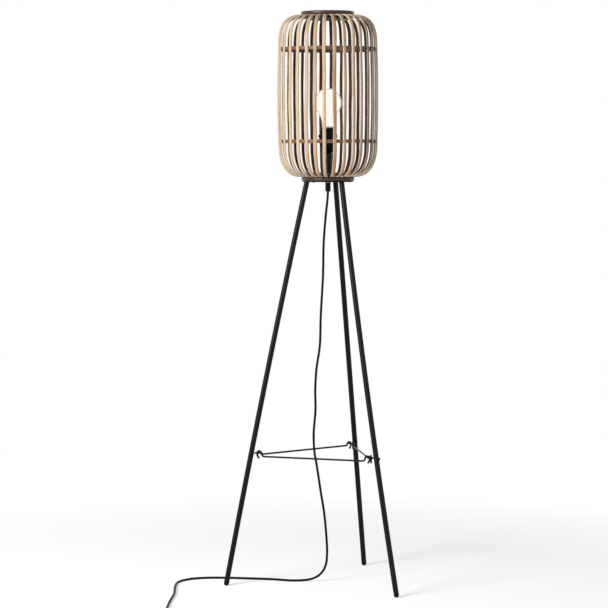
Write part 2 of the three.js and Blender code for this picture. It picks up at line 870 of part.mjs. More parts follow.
function switchHousing() {
  const body = new THREE.ExtrudeGeometry(
    ovalShape(switchLength - 2 * switchRound, switchWidth - 2 * switchRound),
    {
      depth: switchHeight - 2 * switchRound,
      bevelThickness: switchRound,
      bevelSize: switchRound,
      bevelSegments: switchRoundSteps,
      curveSegments: switchEndSteps,
    },
  ).translate(0, 0, switchRound);
  const well = turned([
    [0, switchWellFloor],
    [switchWellRadius, switchWellFloor],
    [switchWellRadius, switchHeight + cutOverrun],
    [0, switchHeight + cutOverrun],
  ], switchFacets);
  const half = switchLength / 2 - cutOverrun;
  return fromSolid(solid(body)
    .add(solid(relief(point(half, 0, switchEntryHeight), 1)))
    .add(solid(relief(point(-half, 0, switchEntryHeight), -1)))
    .subtract(solid(well)))
    .translate(switchMiddleX, switchMiddleY, 0);
}

function switchButton() {
  const radius = switchWellRadius - seatGap;
  const bottom = switchWellFloor + switchTravel + seatGap;
  return turned([
    [0, bottom],
    [radius, bottom],
    [radius, switchButtonTop - switchCrown],
    [radius - switchCrown, switchButtonTop - switchCrown / 2],
    [radius / 2, switchButtonTop],
    [0, switchButtonTop],
  ], switchFacets).translate(switchMiddleX, switchMiddleY, 0);
}

// Lies flat, its pins pointing the way the flex ran.
function plug() {
  const wide = plugWidth / 2 - plugRound;
  const narrow = plugTailWidth / 2 - plugRound;
  const front = plugLength - plugRound;
  const outline = new THREE.Shape([
    new THREE.Vector2(plugRound, -narrow),
    new THREE.Vector2(plugLength / 2, -wide),
    new THREE.Vector2(front, -wide),
    new THREE.Vector2(front, wide),
    new THREE.Vector2(plugLength / 2, wide),
    new THREE.Vector2(plugRound, narrow),
  ]);
  const middle = plugThickness / 2;
  let body = solid(new THREE.ExtrudeGeometry(outline, {
    depth: plugThickness - 2 * plugRound,
    bevelThickness: plugRound,
    bevelSize: plugRound,
    bevelSegments: plugRoundSteps,
  }).translate(0, 0, plugRound));
  body = body.add(solid(relief(point(cutOverrun, 0, middle), -1)));
  for (const side of [-1, 1]) {
    const y = side * pinSpacing / 2;
    const from = point(plugLength - cutOverrun, y, middle);
    const to = point(plugLength + pinLength, y, middle);
    body = body.add(solid(bar(from, to, pinRadius, pinSides)));
  }
  const end = coilRoute().pop();
  return fromSolid(body)
    .translate(reliefLength + seatGap, 0, 0)
    .rotateZ(Math.PI)
    .translate(end.x, end.y, 0);
}

const lamp = new THREE.Group();
const onCord = new THREE.Group();

function place(name, geometry, finish, group = lamp, angle = 0) {
  const mesh = new THREE.Mesh(tidied(geometry), new THREE.MeshStandardMaterial(finish));
  mesh.name = name;
  mesh.rotation.z = angle;
  group.add(mesh);
}

const upperInnerUnderside = slatTop - slatThickness - seatGap - upperInnerHeight;
const lowerInnerUnderside = slatBottom + slatThickness + seatGap;
place('top_ring', woodRing(ringRadius, ringHeight, ringRound, upperRingUnderside), stainedWood);
place(
  'top_inner_ring',
  woodRing(ringRadius - upperInnerInset, upperInnerHeight, innerRingRound, upperInnerUnderside),
  stainedWood,
);
place('bottom_ring', woodRing(ringRadius, ringHeight, ringRound, shadeBottom), stainedWood);
place(
  'bottom_inner_ring',
  woodRing(ringRadius - lowerInnerInset, lowerInnerHeight, innerRingRound, lowerInnerUnderside),
  stainedWood,
);
place('upper_hoop', hoop(lampHeight - upperHoopDrop), stainedWood);
place('lower_hoop', hoop(shadeBottom + lowerHoopRise), stainedWood);
for (let i = 0; i < slatCount; i += 1) {
  const name = `slat_${String(i + 1).padStart(2, '0')}`;
  place(name, slat(), rattan, lamp, slatAngle(i));
}
place('hub', hub(), blackSteel);
legBows.forEach((bow, i) => {
  place(`leg_${legNames[i]}`, leg(bow, eyeNuts[i]), blackSteel, lamp, legAngle(i));
  place(`foot_${legNames[i]}`, footGlide(bow), blackPlastic, lamp, legAngle(i));
  place(`eye_bolt_${legNames[i]}`, eyeBolt(i), blackSteel, lamp, legAngle(i));
});
legNames.forEach((name, i) => {
  const next = (i + 1) % legNames.length;
  place(`spreader_rod_${name}_${legNames[next]}`, spreaderRod(i, next), blackSteel);
});
place('lampholder_cap', holderCap(), blackPlastic);
place('lampholder_insert', holderInsert(), ceramic);
place('lampholder_skirt', holderSkirt(), blackPlastic);
place('bulb_cap', bulbCap(), nickel);
place('bulb_glass', bulbGlass(), clearGlass);
place('cord_gland', cordGland(), blackPlastic);
place('cord', cord(), flex, onCord);
place('cord_coil', cordCoil(), flex, onCord);
place('switch_housing', switchHousing(), blackPlastic, onCord);
place('switch_button', switchButton(), blackPlastic, onCord);
place('plug', plug(), blackPlastic, onCord);

// The origin is on the floor, in the middle of the lamp's own outline.
const outline = new THREE.Box3().setFromObject(lamp);
const middle = outline.getCenter(new THREE.Vector3());
const part = new THREE.Group();
part.add(lamp, onCord);
for (const group of part.children) {
  group.position.set(-middle.x, -middle.y, 0);
}
part.updateMatrixWorld(true);

export default part;
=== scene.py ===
"""The looks of a floor lamp: a barrel of split rattan slats on a tripod of thin black steel legs.

Metres, +Z up, the floor at zero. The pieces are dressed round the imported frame, whose places they take.
"""

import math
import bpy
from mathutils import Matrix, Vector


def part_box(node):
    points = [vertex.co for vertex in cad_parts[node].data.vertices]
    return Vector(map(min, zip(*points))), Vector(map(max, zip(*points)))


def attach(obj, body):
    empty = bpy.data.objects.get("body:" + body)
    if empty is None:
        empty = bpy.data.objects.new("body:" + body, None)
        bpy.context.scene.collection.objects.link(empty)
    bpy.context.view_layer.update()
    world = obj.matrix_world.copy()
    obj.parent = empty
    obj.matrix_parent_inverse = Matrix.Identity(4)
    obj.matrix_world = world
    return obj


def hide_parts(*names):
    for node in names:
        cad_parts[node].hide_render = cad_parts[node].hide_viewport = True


bl_info = {
    "name": "Rattan Floor Lamp",
    "version": (1, 0, 0),
    "blender": (4, 5, 0),
    "location": "View3D > Sidebar > Floor Lamp",
    "description": "Builds the visible pieces of a rattan floor lamp and a plain studio round it",
    "category": "Add Mesh",
}

import bmesh
import bpy
from mathutils import Matrix, Vector

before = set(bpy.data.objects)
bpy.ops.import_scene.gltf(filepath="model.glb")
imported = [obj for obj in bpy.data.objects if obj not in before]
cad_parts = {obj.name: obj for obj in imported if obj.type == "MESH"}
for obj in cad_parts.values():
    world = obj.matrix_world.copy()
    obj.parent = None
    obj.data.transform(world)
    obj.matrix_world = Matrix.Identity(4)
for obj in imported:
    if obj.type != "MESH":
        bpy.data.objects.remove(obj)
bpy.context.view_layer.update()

MM = 0.001
TURN = 2 * math.pi
ROOT = "frame_and_shade"
SEAT_GAP = 0.3 * MM  # room between pieces that rest on or in each other
MERGE = 0.001 * MM  # corners closer than this are one corner
CREASE = math.radians(38)  # edges that turn more than this stay sharp


def linear(code):
    """The linear colour of an sRGB hex code."""
    channels = [int(code[i:i + 2], 16) / 255 for i in (1, 3, 5)]
    return tuple(c / 12.92 if c <= 0.04045 else ((c + 0.055) / 1.055) ** 2.4 for c in channels)


def middle(node):
    """The middle of a CAD node's box."""
    low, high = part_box(node)
    return (low + high) / 2


def box_radius(node):
    """The outer radius of a round upright CAD node."""
    low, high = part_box(node)
    return (high.x - low.x) / 2


AXIS = Vector((middle("top_ring").x, middle("top_ring").y, 0))
RING_RADIUS = box_radius("top_ring")
HOOPS = ("upper_hoop", "lower_hoop")


# Sizes and colours

def length(name, description, default):
    return bpy.props.FloatProperty(
        name=name, description=description, default=default, unit="LENGTH", subtype="DISTANCE", precision=4)


def angle(name, description, degrees):
    return bpy.props.FloatProperty(
        name=name, description=description, default=math.radians(degrees), unit="ROTATION", subtype="ANGLE")


def number(name, description, default):
    return bpy.props.FloatProperty(name=name, description=description, default=default, precision=3)


def count(name, description, default):
    return bpy.props.IntProperty(name=name, description=description, default=default, min=1)


def colour(name, description, code):
    return bpy.props.FloatVectorProperty(
        name=name, description=description, default=linear(code), size=3, subtype="COLOR", min=0, max=1)


class StageSettings(bpy.types.PropertyGroup):
    camera_distance: length("Distance", "From the lamp's axis to the camera", 5.441)
    camera_height: length("Height", "Of the camera over the floor", 1.010)
    camera_lens: number("Lens", "Focal length in millimetres on a 36 mm sensor", 142.1)
    camera_pitch: angle("Pitch", "How far the camera looks down", 3.9)
    camera_yaw: angle("Yaw", "How far the camera looks past the lamp's left", 0.58)
    camera_roll: angle("Roll", "Tilt of the picture", 0.171)
    key_power: number("Key", "Power of the large lamp at the left, in watts", 130)
    fill_power: number("Fill", "Power of the large lamp at the right, in watts", 8)
    sky: number("Sky", "Light from all sides", 0.16)
    floor_light: number("Floor light", "Share of white that the floor adds by itself near the lamp", 0.5)


class ShadeSettings(bpy.types.PropertyGroup):
    slat_count: count("Slats", "Number of slats", 30)
    slat_width: length("Slat width", "Width of a slat", 7.2 * MM)
    slat_thickness: length("Slat thickness", "Thickness of a slat", 3.8 * MM)
    slat_crown: length("Slat crown", "How far the skin falls away at a slat's sides", 0.9 * MM)
    slat_corner: length("Slat corner", "Radius of a slat's long edges", 1.1 * MM)
    slat_grip: length("Slat grip", "How far the slats reach in between the rings", 14 * MM)
    slat_flat: length("Slat flat", "Straight run outside the ring", 2 * MM)
    slat_sway: length("Sway", "How far a slat wanders sideways", 0.9 * MM)
    slat_spread: number("Width spread", "Share by which one slat is wider than another", 0.17)
    slat_swell: number("Swell", "Share by which a slat's width changes along it", 0.3)
    radius: length("Shade radius", "Outside of the slats where the shoulders end", 112 * MM)
    belly: length("Belly", "How much wider the shade is at half height", 2.2 * MM)
    top_shoulder: length("Top shoulder", "Height of the upper shoulder", 67 * MM)
    top_squareness: number("Top squareness", "2 is an ellipse, more is squarer", 2.6)
    bottom_shoulder: length("Bottom shoulder", "Height of the lower shoulder", 73 * MM)
    bottom_squareness: number("Bottom squareness", "2 is an ellipse, more is squarer", 2.3)
    ring_width: length("Ring width", "From a ring's bore to its edge", 20 * MM)
    hoop_thickness: length("Hoop thickness", "Of the strip that a hoop is bent from", 3 * MM)
    seed: count("Seed", "Seed of the slats' irregularity", 7)
    skin: colour("Skin", "Pale outer skin of the rattan", "#dbbb9a")
    skin_dark: colour("Darker skin", "Browner stretches of the skin", "#a97c52")
    edge: colour("Edge", "Cut edge of a slat", "#f2e0c6")
    heart: colour("Heart", "Inner face of a slat", "#523524")
    stain: colour("Stain", "Stained wood of the rings", "#331b14")
    stain_light: colour("Light stain", "Lighter grain of the rings", "#502e23")
    hoop: colour("Hoop", "Skin of the hoops' strip", "#7d5639")
    hoop_heart: colour("Hoop heart", "Inner face of the hoops' strip", "#2e180d")


class TripodSettings(bpy.types.PropertyGroup):
    leg_radius: length("Leg radius", "Outer radius of the tube", 6 * MM)
    foot_spread: length("Foot spread", "From the lamp's axis to a foot", 236 * MM)
    first_angle: angle("First leg", "Angle of the first leg from +X", 189.24)
    bows: bpy.props.FloatVectorProperty(
        name="Bows", description="How far each leg is bent outwards at half height",
        default=(3.3 * MM, -7.8 * MM, -0.3 * MM), size=3, unit="LENGTH", subtype="XYZ")
    top_inset: length("Leg inset", "From the hub's edge to the middle of a leg's top", 9.6 * MM)
    foot_cut: length("Foot cut", "Depth of the flat under a foot", 0.5 * MM)
    foot_collar: length("Foot collar", "Straight part of the glide", 4 * MM)
    eye_height: length("Eye height", "Of the eye bolts over the floor", 302 * MM)
    eye_wire: length("Eye wire", "Radius of the eye bolts' wire", 1.4 * MM)
    eye_room: length("Eye room", "Between the eye's wire and the hooks", 0.5 * MM)
    stand_offs: bpy.props.FloatVectorProperty(
        name="Stand-offs", description="Plain shank between each leg and its eye",
        default=(0, 6.6 * MM, 8 * MM), size=3, unit="LENGTH", subtype="XYZ")
    with_nuts: bpy.props.BoolVectorProperty(
        name="Nuts", description="Which eyes run through their leg to a nut", size=3,
        default=(False, True, True))
    nut_radius: length("Nut radius", "Over the corners of the nut", 3.8 * MM)
    nut_height: length("Nut height", "Of the nut", 3.2 * MM)
    thread_end: length("Thread end", "Thread that shows past the nut", 1.5 * MM)
    rod_radius: length("Rod radius", "Radius of the spreader rods", 2.1 * MM)
    rods_apart: length("Rods apart", "Between two hooks in one eye", 0.5 * MM)
    rod_tail: length("Rod tail", "Hook's tail below the middle of its arch", 10.5 * MM)
    rod_lean: length("Rod lean", "How far the tail leans back", 4.5 * MM)
    rod_bends: bpy.props.FloatVectorProperty(
        name="Rod bends", description="Radius where each rod's hooks run out into the rod",
        default=(6 * MM, 4 * MM, 2.8 * MM), size=3, unit="LENGTH", subtype="XYZ")
    screw_radius: length("Screw head", "Radius of the hub screws' heads", 3.2 * MM)
    screw_height: length("Screw height", "How far the hub screws' heads stand out", 1.6 * MM)
    steel: colour("Steel", "Powder coat of the legs", "#060607")
    wire: colour("Wire", "Blackened wire of the rods and eyes", "#0e0e10")
    glide: colour("Glide", "Nylon of the foot glides", "#09090a")


class FittingSettings(bpy.types.PropertyGroup):
    bulb_radius: length("Bulb radius", "Of the glass", 31 * MM)
    bulb_crown: length("Bulb crown", "From the widest place to the top", 33 * MM)
    bulb_arc: angle("Bulb arc", "Round part under the widest place", 42)
    bulb_wall: length("Bulb wall", "Thickness of the glass", 0.8 * MM)
    thread_pitch: length("Thread pitch", "Of the bulb's screw cap", 3.62 * MM)
    phenolic: colour("Phenolic", "Of the lampholder", "#070605")
    glass: colour("Glass", "Of the bulb", "#080808")
    glow: colour("Glow", "Light of the filaments", "#fffaed")
    glow_strength: number("Glow strength", "How bright the glass looks", 0.92)
    cast_strength: number("Cast strength", "How brightly the glass lights what is round it", 6)


class FlexSettings(bpy.types.PropertyGroup):
    diameter: length("Flex diameter", "Of the round flex", 5.4 * MM)
    coil_radius: length("Coil radius", "At the middle of the coil's turns", 30 * MM)
    coil_turns: count("Coil turns", "In each of the two layers", 2)
    turn_gap: length("Turn gap", "Between two turns", 0.6 * MM)
    coil_lead: length("Coil lead", "From the switch to the coil", 36 * MM)
    coil_tail: length("Coil tail", "From the coil to the plug", 20 * MM)
    switch_middle: bpy.props.FloatVectorProperty(
        name="Switch", description="Middle of the foot switch, from the lamp's axis",
        default=(-232 * MM, -469 * MM), size=2, unit="LENGTH")
    rubber: colour("Rubber", "Of the flex and the strain reliefs", "#0a0a0a")
    shell: colour("Shell", "Of the switch and the plug", "#0d0d0e")


class LampSettings(bpy.types.PropertyGroup):
    stage: bpy.props.PointerProperty(type=StageSettings)
    shade: bpy.props.PointerProperty(type=ShadeSettings)
    tripod: bpy.props.PointerProperty(type=TripodSettings)
    fitting: bpy.props.PointerProperty(type=FittingSettings)
    flex: bpy.props.PointerProperty(type=FlexSettings)


# Nodes and materials

def add(tree, kind, inputs=None, **settings):
    """A node with its settings, its values and what is linked into it."""
    node = tree.nodes.new(kind)
    for name, value in settings.items():
        setattr(node, name, value)
    for key, value in (inputs or {}).items():
        usable = [s for s in node.inputs if s.enabled]
        target = usable[key] if isinstance(key, int) else next(s for s in usable if s.name == key)
        if isinstance(value, bpy.types.Node):
            value = next(s for s in value.outputs if s.enabled)
        if isinstance(value, bpy.types.NodeSocket):
            tree.links.new(value, target)
        else:
            target.default_value = value
    return node


def new_material(name):
    material = bpy.data.materials.new(name)
    material.use_nodes = True
    material.node_tree.nodes.clear()
    return material, material.node_tree


def opaque(tint, share=1.0):
    return (*(channel * share for channel in tint), 1)


def repeats(*sizes):
    """The scale that makes a pattern repeat every so many metres along each axis."""
    return [1 / size for size in sizes]


def rattan_material(shade):
    """Split rattan: a pale waxy skin outside, fibrous pale edges and a dark heart inside."""
    fibre_width, fibre_run = 0.7 * MM, 60 * MM  # twice as wide as the real fibres, so that they show
    patch_width, patch_run = 12 * MM, 80 * MM  # browner stretches, where the skin was scraped less
    skin_ends, edge_starts, edge_ends, heart_starts = 0.2, 0.34, 0.8, 0.93  # shares of the thickness
    material, tree = new_material("split rattan")
    section = add(tree, "ShaderNodeAttribute", attribute_name="section").outputs["Vector"]
    along = add(tree, "ShaderNodeAttribute", attribute_name="along").outputs["Fac"]
    slat = add(tree, "ShaderNodeAttribute", attribute_name="slat").outputs["Fac"]
    parts = add(tree, "ShaderNodeSeparateXYZ", {"Vector": section})
    place = add(tree, "ShaderNodeCombineXYZ", {
        "X": parts.outputs["X"], "Y": parts.outputs["Y"], "Z": along})
    fibre_place = add(tree, "ShaderNodeMapping", {
        "Vector": place, "Scale": repeats(fibre_width, fibre_width, fibre_run)})
    fibres = add(tree, "ShaderNodeTexNoise", {
        "Vector": fibre_place, "W": slat, "Scale": 1.0, "Detail": 3.0}, noise_dimensions="4D").outputs["Fac"]
    patch_place = add(tree, "ShaderNodeMapping", {
        "Vector": place, "Scale": repeats(patch_width, patch_width, patch_run)})
    patches = add(tree, "ShaderNodeTexNoise", {
        "Vector": patch_place, "W": slat, "Scale": 1.0, "Detail": 2.0}, noise_dimensions="4D").outputs["Fac"]
    own = add(tree, "ShaderNodeTexWhiteNoise", {"W": slat}, noise_dimensions="1D").outputs["Value"]
    brown = add(tree, "ShaderNodeMath", {0: own, 1: patches}, operation="MULTIPLY")
    browner = add(tree, "ShaderNodeMapRange", {
        "Value": brown, "From Min": 0.16, "From Max": 0.5, "To Max": 0.85})
    skin = add(tree, "ShaderNodeMix", {
        "Factor": browner, "A": opaque(shade.skin), "B": opaque(shade.skin_dark)}, data_type="RGBA")
    edge = add(tree, "ShaderNodeMix", {
        "Factor": fibres, "A": opaque(shade.edge, 0.72), "B": opaque(shade.edge)}, data_type="RGBA")
    heart = add(tree, "ShaderNodeMix", {
        "Factor": fibres, "A": opaque(shade.heart, 0.6), "B": opaque(shade.heart)}, data_type="RGBA")
    depth = add(tree, "ShaderNodeMath", {0: parts.outputs["Y"], 1: -1 / shade.slat_thickness},
                operation="MULTIPLY")
    to_edge = add(tree, "ShaderNodeMapRange", {
        "Value": depth, "From Min": skin_ends, "From Max": edge_starts})
    to_heart = add(tree, "ShaderNodeMapRange", {
        "Value": depth, "From Min": edge_ends, "From Max": heart_starts})
    outer = add(tree, "ShaderNodeMix", {"Factor": to_edge, "A": skin, "B": edge}, data_type="RGBA")
    body = add(tree, "ShaderNodeMix", {"Factor": to_heart, "A": outer, "B": heart}, data_type="RGBA")
    streaks = add(tree, "ShaderNodeMapRange", {
        "Value": fibres, "From Min": 0.35, "From Max": 0.72, "To Min": 1.0, "To Max": 0.84})
    streaked = add(tree, "ShaderNodeVectorMath", {0: body, "Scale": streaks}, operation="SCALE")
    roughness = add(tree, "ShaderNodeMapRange", {"Value": to_edge, "To Min": 0.4, "To Max": 0.7})
    relief = add(tree, "ShaderNodeBump", {"Height": fibres, "Distance": 0.12 * MM, "Strength": 0.6})
    shader = add(tree, "ShaderNodeBsdfPrincipled", {
        "Base Color": streaked, "Roughness": roughness, "Specular IOR Level": 0.14, "Normal": relief})
    add(tree, "ShaderNodeOutputMaterial", {"Surface": shader})
    return material


def stained_material(shade):
    """Turned beech with a dark stain under varnish: straight grain, short dark pores and a gloss."""
    grain_run, grain_width = 60 * MM, 2.2 * MM
    pore_run, pore_width = 4 * MM, 0.5 * MM
    material, tree = new_material("stained beech")
    place = add(tree, "ShaderNodeTexCoord").outputs["Object"]
    grain_place = add(tree, "ShaderNodeMapping", {
        "Vector": place, "Scale": repeats(grain_run, grain_width, grain_width)})
    grain = add(tree, "ShaderNodeTexNoise", {
        "Vector": grain_place, "Scale": 1.0, "Detail": 4.0}).outputs["Fac"]
    pore_place = add(tree, "ShaderNodeMapping", {
        "Vector": place, "Scale": repeats(pore_run, pore_width, pore_width)})
    pores = add(tree, "ShaderNodeTexNoise", {
        "Vector": pore_place, "Scale": 1.0, "Detail": 1.0}).outputs["Fac"]
    bands = add(tree, "ShaderNodeMapRange", {"Value": grain, "From Min": 0.35, "From Max": 0.68})
    wood = add(tree, "ShaderNodeMix", {
        "Factor": bands, "A": opaque(shade.stain), "B": opaque(shade.stain_light)}, data_type="RGBA")
    dots = add(tree, "ShaderNodeMapRange", {
        "Value": pores, "From Min": 0.58, "From Max": 0.68, "To Min": 1.0, "To Max": 0.55})
    dotted = add(tree, "ShaderNodeVectorMath", {0: wood, "Scale": dots}, operation="SCALE")
    roughness = add(tree, "ShaderNodeMapRange", {
        "Value": grain, "From Min": 0.3, "From Max": 0.7, "To Min": 0.36, "To Max": 0.5})
    relief = add(tree, "ShaderNodeBump", {"Height": dots, "Distance": 0.08 * MM, "Strength": 0.5})
    shader = add(tree, "ShaderNodeBsdfPrincipled", {
        "Base Color": dotted, "Roughness": roughness, "Specular IOR Level": 0.3, "Coat Weight": 0.25,
        "Coat Roughness": 0.25, "Normal": relief})
    add(tree, "ShaderNodeOutputMaterial", {"Surface": shader})
    return material


def hoop_material(shade, inner, outer):
    """A bent rattan strip: tan skin outside, a dark heart inside, and streaks that run round it."""
    streak_turn, streak_width = 0.35, 0.6 * MM  # a third of a radian long
    skin_depth = 0.6  # share of the thickness at which the skin starts
    material, tree = new_material("bent rattan strip")
    place = add(tree, "ShaderNodeTexCoord").outputs["Object"]
    centred = add(tree, "ShaderNodeMapping", {"Vector": place, "Location": -AXIS})
    parts = add(tree, "ShaderNodeSeparateXYZ", {"Vector": centred})
    turned_by = add(tree, "ShaderNodeMath", {0: parts.outputs["Y"], 1: parts.outputs["X"]},
                    operation="ARCTAN2")
    unrolled = add(tree, "ShaderNodeCombineXYZ", {"X": turned_by, "Y": parts.outputs["Z"]})
    streak_place = add(tree, "ShaderNodeMapping", {
        "Vector": unrolled, "Scale": repeats(streak_turn, streak_width, 1)})
    streaks = add(tree, "ShaderNodeTexNoise", {
        "Vector": streak_place, "Scale": 1.0, "Detail": 3.0}).outputs["Fac"]
    level = add(tree, "ShaderNodeCombineXYZ", {"X": parts.outputs["X"], "Y": parts.outputs["Y"]})
    radius = add(tree, "ShaderNodeVectorMath", {0: level}, operation="LENGTH").outputs["Value"]
    outwards = add(tree, "ShaderNodeMapRange", {"Value": radius, "From Min": inner, "From Max": outer})
    skin = add(tree, "ShaderNodeMix", {
        "Factor": streaks, "A": opaque(shade.hoop, 0.6), "B": opaque(shade.hoop)}, data_type="RGBA")
    heart = add(tree, "ShaderNodeMix", {
        "Factor": streaks, "A": opaque(shade.hoop_heart, 0.6), "B": opaque(shade.hoop_heart)},
        data_type="RGBA")
    skinned = add(tree, "ShaderNodeMath", {0: outwards, 1: skin_depth}, operation="GREATER_THAN")
    tone = add(tree, "ShaderNodeMix", {"Factor": skinned, "A": heart, "B": skin}, data_type="RGBA")
    relief = add(tree, "ShaderNodeBump", {"Height": streaks, "Distance": 0.1 * MM, "Strength": 0.5})
    shader = add(tree, "ShaderNodeBsdfPrincipled", {"Base Color": tone, "Roughness": 0.48, "Normal": relief})
    add(tree, "ShaderNodeOutputMaterial", {"Surface": shader})
    return material


def grained_material(name, tint, roughness, grit, depth, gloss=0.5, metal=0.0):
    """A dark moulded or coated skin: an even colour, broken by fine grit that softens its highlights."""
    cloud_size, roughness_spread = 40 * grit, 0.05
    material, tree = new_material(name)
    place = add(tree, "ShaderNodeTexCoord").outputs["Object"]
    grain_place = add(tree, "ShaderNodeMapping", {"Vector": place, "Scale": repeats(grit, grit, grit)})
    grain = add(tree, "ShaderNodeTexNoise", {
        "Vector": grain_place, "Scale": 1.0, "Detail": 2.0}).outputs["Fac"]
    cloud_place = add(tree, "ShaderNodeMapping", {
        "Vector": place, "Scale": repeats(cloud_size, cloud_size, cloud_size)})
    cloud = add(tree, "ShaderNodeTexNoise", {"Vector": cloud_place, "Scale": 1.0}).outputs["Fac"]
    rough = add(tree, "ShaderNodeMapRange", {
        "Value": cloud, "From Min": 0.3, "From Max": 0.7, "To Min": roughness - roughness_spread,
        "To Max": roughness + roughness_spread})
    tone = add(tree, "ShaderNodeMix", {
        "Factor": cloud, "A": opaque(tint, 0.8), "B": opaque(tint, 1.15)}, data_type="RGBA")
    relief = add(tree, "ShaderNodeBump", {"Height": grain, "Distance": depth, "Strength": 0.5})
    shader = add(tree, "ShaderNodeBsdfPrincipled", {
        "Base Color": tone, "Roughness": rough, "Specular IOR Level": gloss, "Metallic": metal,
        "Normal": relief})
    add(tree, "ShaderNodeOutputMaterial", {"Surface": shader})
    return material


def metal_material(name, code, roughness):
    """Plated sheet metal: bright, with faint rubbed streaks."""
    rub_run, rub_width = 6 * MM, 0.4 * MM
    material, tree = new_material(name)
    place = add(tree, "ShaderNodeTexCoord").outputs["Object"]
    rub_place = add(tree, "ShaderNodeMapping", {
        "Vector": place, "Scale": repeats(rub_run, rub_run, rub_width)})
    rub = add(tree, "ShaderNodeTexNoise", {"Vector": rub_place, "Scale": 1.0, "Detail": 2.0}).outputs["Fac"]
    rough = add(tree, "ShaderNodeMapRange", {
        "Value": rub, "From Min": 0.3, "From Max": 0.7, "To Min": roughness - 0.06,
        "To Max": roughness + 0.08})
    shader = add(tree, "ShaderNodeBsdfPrincipled", {
        "Base Color": opaque(linear(code)), "Metallic": 1.0, "Roughness": rough})
    add(tree, "ShaderNodeOutputMaterial", {"Surface": shader})
    return material


def glass_material(fitting):
    """Blown soda glass full of the filaments' light: cream all over, with a thin grey line at its rim."""
    rim_starts, rim_ends, rim_share = 0.36, 0.5, 0.45
    material, tree = new_material("lit soda glass")
    facing = add(tree, "ShaderNodeLayerWeight", {"Blend": 0.3}).outputs["Facing"]
    cast = add(tree, "ShaderNodeLightPath").outputs["Is Diffuse Ray"]
    rim = add(tree, "ShaderNodeMapRange", {
        "Value": facing, "From Min": rim_starts, "From Max": rim_ends, "To Min": fitting.glow_strength,
        "To Max": rim_share * fitting.glow_strength})
    # A picture can't hold how bright the glass is: it looks cream, and lights the slats more than that.
    glow = add(tree, "ShaderNodeMix", {"Factor": cast, "A": rim, "B": fitting.cast_strength},
               data_type="FLOAT")
    shader = add(tree, "ShaderNodeBsdfPrincipled", {
        "Base Color": opaque(fitting.glass), "Roughness": 0.02, "IOR": 1.46, "Transmission Weight": 1.0,
        "Emission Color": opaque(fitting.glow), "Emission Strength": glow})
    add(tree, "ShaderNodeOutputMaterial", {"Surface": shader})
    return material


def clear_material():
    """Drawn lead glass of the stem: clear, smooth and heavy."""
    material, tree = new_material("clear lead glass")
    shader = add(tree, "ShaderNodeBsdfPrincipled", {
        "Base Color": (1, 1, 1, 1), "Roughness": 0.02, "IOR": 1.52, "Transmission Weight": 1.0})
    add(tree, "ShaderNodeOutputMaterial", {"Surface": shader})
    return material


def filament_material():
    """Phosphor coating on lit filaments: a soft yellow bar that glows evenly."""
    material, tree = new_material("lit phosphor")
    shader = add(tree, "ShaderNodeBsdfPrincipled", {
        "Base Color": opaque(linear("#f2c869")), "Roughness": 0.6,
        "Emission Color": opaque(linear("#ffe2a0")), "Emission Strength": 0.9})
    add(tree, "ShaderNodeOutputMaterial", {"Surface": shader})
    return material


def ceramic_material():
    """Unglazed white steatite: matt, with faint grey specks."""
    speck = 0.8 * MM
    material, tree = new_material("steatite")
    place = add(tree, "ShaderNodeTexCoord").outputs["Object"]
    speck_place = add(tree, "ShaderNodeMapping", {"Vector": place, "Scale": repeats(speck, speck, speck)})
    specks = add(tree, "ShaderNodeTexNoise", {"Vector": speck_place, "Scale": 1.0}).outputs["Fac"]
    share = add(tree, "ShaderNodeMapRange", {"Value": specks, "From Min": 0.55, "From Max": 0.7})
    tone = add(tree, "ShaderNodeMix", {
        "Factor": share, "A": opaque(linear("#dfdbd2")), "B": opaque(linear("#b9b4a8"))}, data_type="RGBA")
    shader = add(tree, "ShaderNodeBsdfPrincipled", {"Base Color": tone, "Roughness": 0.6})
    add(tree, "ShaderNodeOutputMaterial", {"Surface": shader})
    return material


# Forms

def in_scene(name, data):
    """A new object in the scene that holds the given mesh, lamp or camera."""
    made = bpy.data.objects.new(name, data)
    bpy.context.scene.collection.objects.link(made)
    return made


